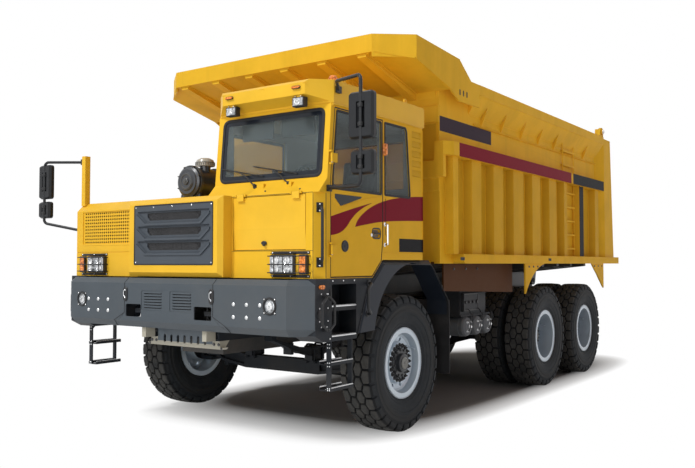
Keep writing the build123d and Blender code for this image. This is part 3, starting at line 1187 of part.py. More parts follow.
with BuildPart() as bed_tub:
    block((-wall_outer_x, wall_outer_x), (bed_front_y, bed_rear_y), (floor_bottom_z, floor_top_z))
    front_wall = from_y(bed_front_y, [
        (0, bottom_rail_z), (0, 2460), (-12, 2474), (-12, 2600), (-44, 2614), (-44, 2790), (8, 2800), (8, 3206),
        (-14, 3220), (-14, 3392), (0, 3400), (0, 3480), (bed_wall, 3480), (bed_wall, bottom_rail_z),
    ])
    side_prism(front_wall, (-wall_outer_x, wall_outer_x))
    for side in (-1, 1):
        wall_side = [(bed_front_y, bottom_rail_z), (bed_front_y, bed_top_z), (bed_rear_y - 132, bed_top_z),
                     (bed_rear_y, bottom_rail_z)]
        side_prism(wall_side, both(side, wall_inner_x, wall_outer_x))
        inner_x = wall_outer_x - 1
        overlap = side * inner_x
        face = side * rib_face_x
        rail_face = side * bed_half_width
        rail_side = [
            (rail_front + 50, bottom_rail_z), (rail_front + 16, bottom_rail_z + 14), (rail_front, bottom_rail_z + 50),
            (rail_front, bottom_rail_z + bottom_rail_height), (bed_tail_y, bottom_rail_z + bottom_rail_height),
            (bed_tail_y, bottom_rail_z),
        ]
        side_prism(rail_side, both(side, inner_x, bed_half_width))
        beam_plan = [
            (overlap, bed_front_y - 44), (side * (rib_face_x - 30), bed_front_y - 44),
            (rail_face, bed_front_y + 60), (rail_face, beam_tail_y), (overlap, beam_tail_y + 30),
        ]
        plan_prism(beam_plan, (beam_bottom_z, beam_top_z))
        corner = [(bed_front_y - 44, 2614), (bed_front_y - 44, beam_top_z), (bed_front_y + 20, beam_top_z),
                  (bed_front_y + 20, 2614)]
        side_prism(corner, both(side, inner_x - 40, rib_face_x - 30))
        slope = [
            (overlap, panel_top_z), (overlap, bed_top_z), (rail_face, bed_top_z), (rail_face, bed_top_z - 115),
            (side * (bed_half_width - 12), bed_top_z - 122),
        ]
        front_prism(slope, (overhang_front_y, post_front_y + 60))
        post_plan = [(overlap, bed_front_y + 116), (face, bed_front_y + 126), (face, bed_front_y + 246),
                     (overlap, bed_front_y + 256)]
        plan_prism(post_plan, (rib_bottom_z, beam_bottom_z + 1))
        for front_share, rear_share in rib_spans:
            start, end = bed_at(front_share), bed_at(rear_share)
            rib_plan = [(overlap, start - rib_flare), (face, start), (face, end), (overlap, end + rib_flare)]
            plan_prism(rib_plan, (rib_bottom_z, beam_bottom_z + 1))
        rear_plan = [(overlap, post_front_y), (face, post_face_y), (face, bed_rear_y), (overlap, bed_rear_y)]
        plan_prism(rear_plan, (rib_bottom_z, bed_top_z))
        behind = [(bed_rear_y - 132, bed_top_z + 1), (bed_rear_y + 1, bed_top_z + 1),
                  (bed_rear_y + 1, bottom_rail_z + bottom_rail_height)]
        side_prism(behind, both(side, inner_x - 1, bed_half_width + 1), Mode.SUBTRACT)
        ledge = [(overlap, 3290), (side * (wall_outer_x + 20), 3290), (overlap, 3330)]
        front_prism(ledge, (bed_at(0.14), post_front_y + 40))
        bar = both(side, wall_outer_x + 12, wall_outer_x + 40)
        for n in range(9):
            z = 1900 + n * 205
            if not beam_bottom_z - 30 < z < beam_top_z + 30:
                rung = both(side, wall_outer_x - 1, wall_outer_x + 40)
                for end in (ladder_bay[0] + 0.006, ladder_bay[1] - 0.01):
                    block(rung, (bed_at(end), bed_at(end) + 24), (z - 12, z + 12))
                block(bar, (bed_at(ladder_bay[0] + 0.006), bed_at(ladder_bay[1] - 0.006)), (z - 12, z + 12))
        ear_profile = [
            (gate_pin_y - 190, bed_top_z - 10), (gate_pin_y - 66, gate_pin_z + 50),
            (gate_pin_y - 30, gate_pin_z + 68), (gate_pin_y + 30, gate_pin_z + 68),
            (gate_pin_y + 62, gate_pin_z + 40), (gate_pin_y + 72, bed_top_z - 10),
        ]
        side_prism(ear_profile, both(side, wall_outer_x - 40, wall_outer_x))
        rod_x(gate_pin_y, gate_pin_z, 26, both(side, wall_outer_x - 110, wall_outer_x + 1))
        rod_x(gate_pin_y, gate_pin_z, 44, both(side, wall_outer_x - 1, wall_outer_x + 16))
save(bed_tub.part, "bed_tub")

# Sub-frame under the floor: two long beams with the hinge lugs, and the hoists' eye lugs
bed_beam_x = (385, 475)
hinge_lug_x = ((345, 395), (465, 515))
with BuildPart() as bed_subframe:
    for side in (-1, 1):
        block(both(side, *bed_beam_x), (bed_front_y + bed_wall + seat_gap, hinge_y - 130),
              (rail_top_z + subframe_gap, floor_bottom_z - seat_gap))
        for lug_x in hinge_lug_x:
            lug = both(side, *lug_x)
            lug_side = [(hinge_y - 160, floor_bottom_z - seat_gap), (hinge_y - 80, hinge_z), (hinge_y + 80, hinge_z),
                        (hinge_y + 160, floor_bottom_z - seat_gap)]
            side_prism(lug_side, lug)
            rod_x(hinge_y, hinge_z, 80, lug)
            rod_x(hinge_y, hinge_z, hinge_pin_radius + pin_clearance, lug, Mode.SUBTRACT)
        for eye_x in ((620, 645), (735, 760)):
            lug = both(side, *eye_x)
            lug_side = [(hoist_eye_y - 150, floor_bottom_z - seat_gap), (hoist_eye_y - 70, hoist_eye_z),
                        (hoist_eye_y + 70, hoist_eye_z), (hoist_eye_y + 150, floor_bottom_z - seat_gap)]
            side_prism(lug_side, lug)
            rod_x(hoist_eye_y, hoist_eye_z, 70, lug)
            rod_x(hoist_eye_y, hoist_eye_z, 32, lug, Mode.SUBTRACT)
save(bed_subframe.part, "bed_subframe")

# Cross bearers, tapered from the long beams out to the side rails
belly_panel_x = (wall_outer_x - 100, wall_outer_x - 80)
bearer_shares = (0.054, 0.153, 0.251, 0.547, 0.646, 0.744, 0.851)
with BuildPart() as bed_bearers:
    for share in bearer_shares:
        y = bed_at(share)
        top_z = floor_bottom_z - seat_gap
        block((-bed_beam_x[0] + seat_gap, bed_beam_x[0] - seat_gap), (y - 40, y + 40), (1560, top_z))
        for side in (-1, 1):
            start_x = side * (bed_beam_x[1] + seat_gap)
            end_x = side * (belly_panel_x[0] - seat_gap)
            bearer = [(start_x, top_z), (start_x, 1530), (end_x, 1640), (end_x, top_z)]
            front_prism(bearer, (y - 40, y + 40))
save(bed_bearers.part, "bed_bearers")

# Skirts over the rear wheels and the dark side panels ahead of them
skirt_x = (bed_half_width - 66, bed_half_width - 46)
skirt_top_z = bottom_rail_z - seat_gap
skirt_bottom_z = 1290
skirt_front_y = mid_axle_y - 903
skirt_rear_y = rear_axle_y + 719
front_arch_y = mid_axle_y - 97
rear_arch_y = rear_axle_y - 171
arch_radius = 1000
with BuildPart() as bed_skirts:
    for side in (-1, 1):
        front_skirt = [(skirt_front_y, skirt_top_z), (skirt_front_y, skirt_bottom_z),
                       (front_arch_y - 745, skirt_bottom_z), (front_arch_y - 100, skirt_top_z)]
        side_prism(front_skirt, both(side, *skirt_x))
        rear_skirt = [(rear_arch_y + 300, skirt_top_z), (rear_arch_y + 880, skirt_bottom_z),
                      (skirt_rear_y, skirt_bottom_z), (skirt_rear_y, skirt_top_z)]
        side_prism(rear_skirt, both(side, *skirt_x))
        for arch_y in (front_arch_y, rear_arch_y):
            rod_x(arch_y, axle_z, arch_radius, both(side, *skirt_x), Mode.SUBTRACT)
        panel = [(rail_front - 40, floor_bottom_z - seat_gap), (rail_front - 40, 1375), (skirt_front_y, 1312),
                 (skirt_front_y, floor_bottom_z - seat_gap)]
        side_prism(panel, both(side, *belly_panel_x))
save(bed_skirts.part, "bed_skirts")

# Canopy over the cab: sloped roof sheet, front and side plates, hat ribs below
canopy_front_y = bumper_face_y + 1400
canopy_corner_y = canopy_front_y + 285
canopy_flat_x = bed_half_width - 350
canopy_top_z = 3969
with BuildPart() as bed_canopy:
    side_plate = [
        (canopy_corner_y, 3726), (canopy_corner_y, canopy_top_z), (bed_at(0.0345), canopy_top_z - 49),
        (bed_at(0.0828), bed_top_z), (overhang_front_y - seat_gap, bed_top_z), (overhang_front_y - seat_gap, 3463),
        (bed_at(0.0334), 3453), (bed_at(-0.0031), 3561),
    ]
    for side in (-1, 1):
        side_prism(side_plate, both(side, bed_half_width - 20, bed_half_width))
        chamfer_plan = [
            (side * canopy_flat_x, canopy_front_y), (side * bed_half_width, canopy_corner_y),
            (side * bed_half_width, canopy_corner_y + 28), (side * (canopy_flat_x - 8), canopy_front_y + 20),
        ]
        plan_prism(chamfer_plan, (3740, canopy_top_z))
    block((-canopy_flat_x, canopy_flat_x), (canopy_front_y, canopy_front_y + 20), (3788, canopy_top_z))
    block((-canopy_flat_x, canopy_flat_x), (canopy_front_y + 10, canopy_front_y + 62),
          (canopy_top_z - 12, canopy_top_z))
    roof = [(canopy_front_y + 10, 3788), (canopy_front_y + 10, 3808), (bed_front_y - 6, 3570),
            (bed_front_y - 6, 3550)]
    side_prism(roof, (-bed_half_width + 10, bed_half_width - 10))
    outside = [
        (canopy_flat_x, canopy_front_y - 5), (bed_half_width + 5, canopy_corner_y - 5),
        (bed_half_width + 5, canopy_front_y - 5),
    ]
    plan_prism(outside, (3400, 4000), Mode.SUBTRACT)
    plan_prism(mirrored(outside), (3400, 4000), Mode.SUBTRACT)
    wall_top = from_y(bed_front_y, [(-20, 3550), (-20, 3640), (bed_wall, 3640), (bed_wall, 3480.3), (0, 3480.3)])
    side_prism(wall_top, (-wall_inner_x + seat_gap, wall_inner_x - seat_gap))
    for n in range(6):
        x = (n - 2.5) * 0.29 * bed_half_width
        flange = [(canopy_front_y + 19, 3792), (canopy_front_y + 19, 3776), (bed_front_y - 10, 3541),
                  (bed_front_y - 10, 3557)]
        side_prism(flange, (x - 75, x + 75))
        rib = [(canopy_front_y + 19, 3792), (canopy_front_y + 19, 3752), (bed_front_y - 1, 3480),
               (bed_front_y - 1, 3557)]
        side_prism(rib, (x - 52, x + 52))
save(bed_canopy.part, "bed_canopy")

# Tailgate: hung from the top pins by its arms
gate_half = wall_outer_x - 10
gate_top_y = gate_pin_y + 118
gate_foot_y = bed_rear_y + 14
with BuildPart() as tailgate:
    gate_side = [
        (gate_top_y, 3690), (gate_top_y + gate_thickness, 3690), (gate_foot_y + gate_thickness, floor_bottom_z - 20),
        (gate_foot_y, floor_bottom_z - 20),
    ]
    side_prism(gate_side, (-gate_half, gate_half))
    for side in (-1, 1):
        arm = from_y(gate_pin_y, [
            (-60, gate_pin_z - 40), (-50, gate_pin_z + 50), (60, gate_pin_z + 55), (150, gate_pin_z - 20),
            (189, 3600), (124, 3560), (116, 3780),
        ])
        side_prism(arm, both(side, wall_outer_x - 100, wall_outer_x - 48))
        rod_x(gate_pin_y, gate_pin_z, 26 + pin_clearance, both(side, wall_outer_x - 105, wall_outer_x - 40),
              Mode.SUBTRACT)
    for n in range(5):
        x = (n - 2) * 0.4 * gate_half
        stiffener = [(gate_top_y + 65, 3650), (gate_top_y + 118, 3630), (gate_foot_y + 110, 1780),
                     (gate_foot_y + 60, 1740)]
        side_prism(stiffener, (x - 60, x + 60))
    for z in (1790, 2700, 3600):
        y = part_way(gate_foot_y, gate_top_y, (z - 1680) / 2010) + 60
        block((-gate_half, gate_half), (y, y + 40), (z - 45, z + 45))
save(tailgate.part, "tailgate")

# Hoists: barrel, stage and rod along the line from foot pin to eye
hoist_angle = atan2(hoist_eye_z - hoist_foot_z, hoist_eye_y - hoist_foot_y)
hoist_closed = hypot(hoist_eye_y - hoist_foot_y, hoist_eye_z - hoist_foot_z)
tip = radians(bed_tip_limit)
eye_dy = hoist_eye_y - hinge_y
eye_dz = hoist_eye_z - hinge_z
raised_eye_y = hinge_y + eye_dy * cos(tip) + eye_dz * sin(tip)
raised_eye_z = hinge_z - eye_dy * sin(tip) + eye_dz * cos(tip)
hoist_open = hypot(raised_eye_y - hoist_foot_y, raised_eye_z - hoist_foot_z)
hoist_stroke = hoist_open - hoist_closed
hoist_swing = atan2(raised_eye_z - hoist_foot_z, raised_eye_y - hoist_foot_y) - hoist_angle
print("hoist foot", round(hoist_foot_y, 3), "eye", round(hoist_eye_y, 3), "angle", round(hoist_angle, 5),
      "stroke", round(hoist_stroke, 2), "swing", round(hoist_swing, 5))


def on_hoist(x, along):
    """Point on a hoist's centre line at a distance from its foot pin."""
    return (x, hoist_foot_y + along * cos(hoist_angle), hoist_foot_z + along * sin(hoist_angle))


barrel_end = hoist_closed - 187
with BuildPart() as hoist_barrels:
    for side in (-1, 1):
        x = side * hoist_x
        tube_between(on_hoist(x, 110), on_hoist(x, barrel_end), barrel_radius)
        tube_between(on_hoist(x, barrel_end - 60), on_hoist(x, barrel_end - 20), barrel_radius + 10)
        rod_x(hoist_foot_y, hoist_foot_z, 80, (x - 50, x + 50))
        tube_between(on_hoist(x, 20), on_hoist(x, 130), 60)
        rod_x(hoist_foot_y, hoist_foot_z, hoist_pin_radius + pin_clearance, (x - 60, x + 60), Mode.SUBTRACT)
        tube_between(on_hoist(x, 140), on_hoist(x, barrel_end + 1), stage_radius + hub_gap, Mode.SUBTRACT)
save(hoist_barrels.part, "hoist_barrels")

with BuildPart() as hoist_stages:
    for side in (-1, 1):
        x = side * hoist_x
        tube_between(on_hoist(x, 150), on_hoist(x, barrel_end + 25), stage_radius)
        tube_between(on_hoist(x, 170), on_hoist(x, barrel_end + 41), rod_radius + hub_gap, Mode.SUBTRACT)
save(hoist_stages.part, "hoist_stages")

with BuildPart() as hoist_rods:
    for side in (-1, 1):
        x = side * hoist_x
        tube_between(on_hoist(x, 180), on_hoist(x, hoist_closed - 100), rod_radius)
        tube_between(on_hoist(x, hoist_closed - 120), on_hoist(x, hoist_closed - 20), 34)
        rod_x(hoist_eye_y, hoist_eye_z, 66, (x - 36, x + 36))
save(hoist_rods.part, "hoist_rods")
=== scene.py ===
import bpy
import bmesh
import math
from mathutils import Matrix, Vector


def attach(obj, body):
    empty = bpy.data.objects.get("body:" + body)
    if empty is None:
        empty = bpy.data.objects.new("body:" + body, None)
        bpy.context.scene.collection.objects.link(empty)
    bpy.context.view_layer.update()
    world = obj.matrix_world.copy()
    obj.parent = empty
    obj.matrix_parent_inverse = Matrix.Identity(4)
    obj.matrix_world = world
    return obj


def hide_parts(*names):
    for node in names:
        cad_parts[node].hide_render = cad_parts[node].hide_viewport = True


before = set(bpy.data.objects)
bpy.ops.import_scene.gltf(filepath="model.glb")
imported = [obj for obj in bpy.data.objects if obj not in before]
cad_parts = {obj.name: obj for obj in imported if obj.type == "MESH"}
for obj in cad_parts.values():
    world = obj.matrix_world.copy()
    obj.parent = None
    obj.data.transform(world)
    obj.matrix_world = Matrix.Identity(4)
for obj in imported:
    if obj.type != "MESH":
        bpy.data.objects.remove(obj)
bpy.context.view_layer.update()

# Materials: node helpers first
BLACK, WHITE = (0, 0, 0), (1, 1, 1)


def new_material(name):
    """Empty node material: its tree and its shader."""
    mat = bpy.data.materials.new(name)
    mat.use_nodes = True
    return mat, mat.node_tree, mat.node_tree.nodes["Principled BSDF"]


def link(tree, source, target):
    """Links a socket, or sets a plain value, on an input."""
    if isinstance(source, bpy.types.NodeSocket):
        tree.links.new(source, target)
    elif isinstance(source, (int, float)):
        target.default_value = source
    else:
        target.default_value = (*source[:3], 1.0)


def texture_noise(tree, scale, detail=4.0, rough=0.55, stretch=(1, 1, 1)):
    """Noise value in object space, stretched by a scale on each axis."""
    place = tree.nodes.new("ShaderNodeTexCoord")
    mapping = tree.nodes.new("ShaderNodeMapping")
    mapping.inputs["Scale"].default_value = stretch
    noise = tree.nodes.new("ShaderNodeTexNoise")
    for socket, value in (("Scale", scale), ("Detail", detail), ("Roughness", rough)):
        noise.inputs[socket].default_value = value
    tree.links.new(place.outputs["Object"], mapping.inputs["Vector"])
    tree.links.new(mapping.outputs["Vector"], noise.inputs["Vector"])
    return noise.outputs["Fac"]


def ramp(tree, source, *stops):
    """Colour ramp over a value; stops are (position, colour)."""
    node = tree.nodes.new("ShaderNodeValToRGB")
    elements = node.color_ramp.elements
    elements.remove(elements[-1])
    for n, (position, colour) in enumerate(stops):
        element = elements[0] if n == 0 else elements.new(position)
        element.position = position
        element.color = (*colour[:3], 1.0)
    tree.links.new(source, node.inputs["Fac"])
    return node.outputs["Color"]


def mix_colour(tree, factor, one, two):
    """Mixed colour of two sockets or constants."""
    node = tree.nodes.new("ShaderNodeMix")
    node.data_type = "RGBA"
    for n, value in ((0, factor), (6, one), (7, two)):
        link(tree, value, node.inputs[n])
    return node.outputs[2]


def scaled(tree, source, low, high):
    """Source value mapped from 0..1 to low..high."""
    node = tree.nodes.new("ShaderNodeMapRange")
    node.inputs["To Min"].default_value = low
    node.inputs["To Max"].default_value = high
    tree.links.new(source, node.inputs["Value"])
    return node.outputs["Result"]


def maths(tree, operation, *values):
    """Math node over sockets or numbers."""
    node = tree.nodes.new("ShaderNodeMath")
    node.operation = operation
    for socket, value in zip(node.inputs, values):
        link(tree, value, socket)
    return node.outputs[0]


def times(tree, first, *others):
    """Product of values, or the place where all the masks overlap."""
    for value in others:
        first = maths(tree, "MULTIPLY", first, value)
    return first


def plus(tree, one, two):
    """Sum of two values."""
    return maths(tree, "ADD", one, two)


def place_xyz(tree):
    """X, Y and Z of the shaded point in the truck's frame."""
    place = tree.nodes.new("ShaderNodeTexCoord")
    split = tree.nodes.new("ShaderNodeSeparateXYZ")
    tree.links.new(place.outputs["Object"], split.inputs[0])
    return split.outputs


def within(tree, value, low, high):
    """1 where a value lies between two others."""
    return maths(tree, "COMPARE", value, (low + high) / 2, (high - low) / 2)


def bump(tree, height, strength, distance):
    """Bump normal over a height value."""
    node = tree.nodes.new("ShaderNodeBump")
    node.inputs["Strength"].default_value = strength
    node.inputs["Distance"].default_value = distance
    tree.links.new(height, node.inputs["Height"])
    return node.outputs["Normal"]


def surface(tree, shader, colour, roughness, normal, **others):
    """Links the three sockets of every finish, and sets plain numbers on others."""
    for name, socket in (("Base Color", colour), ("Roughness", roughness), ("Normal", normal)):
        tree.links.new(socket, shader.inputs[name])
    for name, value in others.items():
        shader.inputs[name.replace("_", " ")].default_value = value


def tone(colour, factor, lift=0.0):
    """Lighter or darker version of a colour."""
    return [min(1, c * factor + lift) for c in colour]


def unmarked(tree, base):
    """A finish without marks."""
    return base


def paint(name, colour, roughness=0.42, dust=0.1, metallic=0.0, coat=0.15, marks=unmarked, streaks=0.0,
          ripple=0.05, specular=0.5):
    """Sprayed paint: mottling, orange peel, sheet ripple, paler worn edges, painted hollow shade, dust,
    run-down streaks.
    """
    mat, tree, shader = new_material(name)
    base = ramp(tree, texture_noise(tree, 3.0), (0.3, tone(colour, 0.93)), (0.5, colour),
                (0.72, tone(colour, 1.05, 0.003)))
    corner = tree.nodes.new("ShaderNodeNewGeometry").outputs["Pointiness"]
    edge = ramp(tree, corner, (0.5, BLACK), (0.62, WHITE))
    base = mix_colour(tree, scaled(tree, edge, 0.0, 0.22), base, tone(colour, 1.3, 0.03))
    # Painted shade: hollows of the mesh take a darker copy of the colour.
    painted_hollow_shade = ramp(tree, corner, (0.38, WHITE), (0.5, BLACK))
    base = mix_colour(tree, scaled(tree, painted_hollow_shade, 0.0, 0.35), base, tone(colour, 0.35))
    if streaks:
        runs = ramp(tree, texture_noise(tree, 5.0, 5.0, 0.6, (1, 1, 0.09)), (0.5, BLACK), (0.75, WHITE))
        base = mix_colour(tree, scaled(tree, runs, 0.0, streaks), base, tone(colour, 0.55))
    grime = ramp(tree, texture_noise(tree, 1.3, 8.0, 0.7), (0.45, BLACK), (0.8, WHITE))
    base = mix_colour(tree, scaled(tree, grime, 0.0, dust), marks(tree, base), (0.33, 0.26, 0.18))
    peel = times(tree, texture_noise(tree, 160.0, 2.0), 0.35)
    height = plus(tree, times(tree, texture_noise(tree, 2.6, 2.0), ripple * 120), peel)
    surface(tree, shader, base, scaled(tree, texture_noise(tree, 40.0, 3.0), roughness - 0.05,
                                       roughness + 0.1),
            bump(tree, height, 0.12, 0.0012), Metallic=metallic, Coat_Weight=coat, Coat_Roughness=0.25,
            Specular_IOR_Level=specular)
    return mat


def rubber(name, colour, roughness=0.75, dust=0.25, marks=unmarked):
    """Moulded rubber with a dusty, slightly brown bloom and fine grain."""
    mat, tree, shader = new_material(name)
    bloom = texture_noise(tree, 6.0, 6.0, 0.65)
    shade = ramp(tree, bloom, (0.3, colour), (0.75, tone(colour, 1.8, 0.004)))
    dusty = ramp(tree, texture_noise(tree, 2.2, 7.0, 0.7), (0.48, BLACK), (0.75, WHITE))
    shade = marks(tree, mix_colour(tree, scaled(tree, dusty, 0.0, dust), shade, (0.09, 0.085, 0.08)))
    surface(tree, shader, shade, scaled(tree, bloom, roughness - 0.12, roughness + 0.12),
            bump(tree, texture_noise(tree, 220.0, 3.0), 0.15, 0.0008), Specular_IOR_Level=0.2)
    return mat


def metal(name, colour, roughness=0.35, metallic=0.9):
    """Bare or plated metal with fine scratches."""
    mat, tree, shader = new_material(name)
    shade = ramp(tree, texture_noise(tree, 9.0, 5.0), (0.3, tone(colour, 0.8)), (0.7, colour))
    scratch = texture_noise(tree, 70.0, 4.0, 0.6, (1, 1, 0.3))
    surface(tree, shader, shade, scaled(tree, scratch, roughness - 0.08, roughness + 0.12),
            bump(tree, scratch, 0.05, 0.0004), Metallic=metallic)
    return mat


def plastic(name, colour, roughness=0.5, grain_size=400.0):
    """Grained moulded plastic."""
    mat, tree, shader = new_material(name)
    base = ramp(tree, texture_noise(tree, 12.0, 3.0), (0.35, tone(colour, 0.88)), (0.7, tone(colour, 1.1)))
    grain = texture_noise(tree, grain_size, 2.0)
    surface(tree, shader, base, scaled(tree, grain, roughness - 0.06, roughness + 0.08),
            bump(tree, grain, 0.12, 0.0004), Specular_IOR_Level=0.3)
    return mat


def fluted(name, colour, glow, metallic=0.0):
    """Lamp lens with moulded flutes and speckle, faintly bright from inside."""
    mat, tree, shader = new_material(name)
    xyz = place_xyz(tree)
    flutes = maths(tree, "SINE", times(tree, xyz[0], 520.0))
    bars = maths(tree, "SINE", times(tree, xyz[2], 140.0))
    cloud = texture_noise(tree, 45.0, 3.0, 0.6)
    speck = ramp(tree, cloud, (0.35, tone(colour, 0.35)), (0.5, colour), (0.68, tone(colour, 1.5, 0.1)))
    height = plus(tree, flutes, times(tree, bars, 1.6))
    surface(tree, shader, speck, scaled(tree, cloud, 0.12, 0.24), bump(tree, height, 0.5, 0.0012),
            Emission_Strength=glow, Metallic=metallic)
    tree.links.new(speck, shader.inputs["Emission Color"])
    return mat


def window_glass(name, tint, density):
    """Tinted pane: mostly clear, with a thin cloudy veil."""
    mat, tree, shader = new_material(name)
    streak = texture_noise(tree, 1.6, 2.0, 0.5, (0.6, 0.6, 1.6))
    shade = ramp(tree, streak, (0.38, tone(tint, 0.75)), (0.62, tone(tint, 1.25)))
    surface(tree, shader, shade, scaled(tree, streak, 0.02, 0.07),
            bump(tree, texture_noise(tree, 1.2, 1.0), 0.03, 0.01))
    clear = tree.nodes.new("ShaderNodeBsdfTransparent")
    clear.inputs["Color"].default_value = (0.90, 0.94, 0.95, 1.0)
    blend = tree.nodes.new("ShaderNodeMixShader")
    tree.links.new(scaled(tree, streak, density * 0.8, density * 1.2), blend.inputs["Fac"])
    tree.links.new(clear.outputs[0], blend.inputs[1])
    tree.links.new(shader.outputs[0], blend.inputs[2])
    tree.links.new(blend.outputs[0], tree.nodes["Material Output"].inputs["Surface"])
    return mat


def cloth(name, colour):
    """Woven seat cloth: fine crossing threads and soft sheen."""
    mat, tree, shader = new_material(name)
    threads = [maths(tree, "SINE", times(tree, along, 1400.0)) for along in place_xyz(tree)]
    weave = times(tree, plus(tree, threads[1], threads[2]), threads[0])
    cloud = texture_noise(tree, 8.0, 5.0)
    surface(tree, shader, ramp(tree, cloud, (0.35, tone(colour, 0.7)), (0.65, tone(colour, 1.2))),
            scaled(tree, cloud, 0.8, 0.95), bump(tree, weave, 0.35, 0.0008), Sheen_Weight=0.3)
    return mat


# Marks: colours laid over a finish at places in the truck's frame
YELLOW = (0.80, 0.465, 0.026)
GREY = (0.062, 0.076, 0.090)
CREAM = (0.42, 0.40, 0.33)
SHADED = (0.085, 0.034, 0.012)
CRIMSON = (0.21, 0.006, 0.020)
DARK = (0.008, 0.008, 0.010)
PLUM = (0.040, 0.026, 0.042)
LAMP_BLACK = (0.014, 0.015, 0.017)
ANY = (-9, 9)
FRONT_AXLE, MID_AXLE, REAR_AXLE, HUB_Z = -2.514, 1.202, 2.851, 0.684


def boxed(*areas):
    """Marks made of boxes on both sides of the truck: ranges of X, Y and Z, and a colour."""
    def marks(tree, base):
        xyz = place_xyz(tree)
        side = maths(tree, "ABSOLUTE", xyz[0])
        for x, y, z, colour in areas:
            mask = times(tree, within(tree, side, *x), within(tree, xyz[1], *y), within(tree, xyz[2], *z))
            base = mix_colour(tree, mask, base, colour)
        return base
    return marks


beam_x, beam_z = (1.744, 1.75), (2.8495, 3.0005)
# The first box is painted shade: dark brown on the belly panel under the bed's overhang.
bed_marks = boxed(((1.49, 1.53), (-1.9, 0.31), (1.2, 1.6995), SHADED),
                  (beam_x, (-1.640, 1.953), beam_z, CRIMSON),
                  (beam_x, (2.03, 3.5), beam_z, DARK), ((1.698, 1.702), (2.42, 2.62), (1.78, 2.86), DARK),
                  ((1.597, 1.605), (-1.82, -0.50), (3.12, 3.285), PLUM))
bumper_marks = boxed(((0.384, 0.441), (-4.2, -4.0), (0.95, 1.0595), CREAM))
guard_marks = boxed(((-0.1, 0.3755), (-4.03, -4.0), (0.922, 1.2), (0.10, 0.125, 0.15)))
air_tank_marks = boxed(((0.94, 1.46), (-0.96, -0.12), (0.80, 1.0495), (0.13, 0.145, 0.16)))
vent_marks = boxed((ANY, ANY, (1.7, 9), YELLOW))
lamp_marks = boxed(((1.400, 1.454), ANY, ANY, YELLOW))


def curve_of(tree, source, *points):
    """Height as a smooth curve along a value, through (place, height) points."""
    start, end = points[0][0], points[-1][0]
    low = min(z for _, z in points) - 0.01
    high = max(z for _, z in points) + 0.01
    node = tree.nodes.new("ShaderNodeFloatCurve")
    curve = node.mapping.curves[0]
    spots = [((y - start) / (end - start), (z - low) / (high - low)) for y, z in points]
    curve.points[0].location = spots[0]
    curve.points[1].location = spots[-1]
    for spot in spots[1:-1]:
        curve.points.new(*spot)
    node.mapping.update()
    along = tree.nodes.new("ShaderNodeMapRange")
    along.inputs["From Min"].default_value = start
    along.inputs["From Max"].default_value = end
    tree.links.new(source, along.inputs["Value"])
    tree.links.new(along.outputs["Result"], node.inputs["Value"])
    return scaled(tree, node.outputs["Value"], low, high)


def cab_marks(tree, base):
    """Crimson sweep in two parts on the door and cab side, the dark oblong, and the pale inner trim."""
    x, y, z = place_xyz(tree)
    front_top = curve_of(tree, y, (-3.884, 2.088), (-3.70, 2.135), (-3.50, 2.184), (-3.235, 2.243))
    front_low = curve_of(tree, y, (-3.884, 1.925), (-3.735, 1.955), (-3.644, 2.007), (-3.567, 2.077),
                         (-3.45, 2.155), (-3.235, 2.24))
    rear_top = curve_of(tree, y, (-3.507, 2.012), (-3.465, 2.075), (-3.374, 2.14), (-3.228, 2.21),
                        (-3.039, 2.268), (-2.75, 2.322), (-2.27, 2.366))
    rear_low = curve_of(tree, y, (-3.507, 2.010), (-3.30, 2.043), (-3.049, 2.075), (-2.7, 2.098),
                        (-2.27, 2.116))
    masks = []
    for start, end, top, low in ((-3.884, -3.235, front_top, front_low), (-3.507, -2.27, rear_top, rear_low)):
        masks.append(times(tree, maths(tree, "LESS_THAN", z, top), maths(tree, "GREATER_THAN", z, low),
                           within(tree, y, start, end)))
    on_side = within(tree, x, 1.632, 1.66)
    sweep = times(tree, maths(tree, "MAXIMUM", *masks), on_side)
    oblong = times(tree, on_side, within(tree, y, -2.742, -2.276), within(tree, z, 1.794, 1.925))
    inner = times(tree, within(tree, x, 0.325, 1.622), within(tree, y, -3.86, -2.295),
                  within(tree, z, 1.57, 3.09))
    for mask, colour in ((inner, (0.26, 0.25, 0.235)), (sweep, CRIMSON), (oblong, DARK)):
        base = mix_colour(tree, mask, base, colour)
    return base


def cleaner_marks(tree, base):
    """Dark red-brown on the pipe behind the air cleaner, pale grey on its cap."""
    x, y, z = place_xyz(tree)
    pipe = maths(tree, "MAXIMUM", maths(tree, "GREATER_THAN", y, -3.262), maths(tree, "LESS_THAN", x, -0.46))
    base = mix_colour(tree, pipe, base, (0.075, 0.022, 0.018))
    return mix_colour(tree, maths(tree, "GREATER_THAN", z, 2.682), base, (0.36, 0.33, 0.27))


def wheel_radius(tree):
    """Distance of the shaded point from its own axle."""
    x, y, z = place_xyz(tree)
    ahead = maths(tree, "GREATER_THAN", y, -1.0)
    rear = maths(tree, "GREATER_THAN", y, (MID_AXLE + REAR_AXLE) / 2)
    centre = plus(tree, FRONT_AXLE, times(tree, ahead, MID_AXLE - FRONT_AXLE))
    centre = plus(tree, centre, times(tree, rear, REAR_AXLE - MID_AXLE))
    off_y = maths(tree, "SUBTRACT", y, centre)
    off_z = maths(tree, "SUBTRACT", z, HUB_Z)
    return maths(tree, "SQRT", plus(tree, times(tree, off_y, off_y), times(tree, off_z, off_z)))


def rim_marks(tree, base):
    """Black hub in the middle of each silver rim, and a ring of painted shade where the dish is deep."""
    radius = wheel_radius(tree)
    # Painted shade: a darker ring across the deep part of the dish.
    base = mix_colour(tree, times(tree, within(tree, radius, 0.262, 0.300), 0.35), base, (0.10, 0.12, 0.14))
    return mix_colour(tree, maths(tree, "LESS_THAN", radius, 0.1525), base, (0.016, 0.018, 0.022))


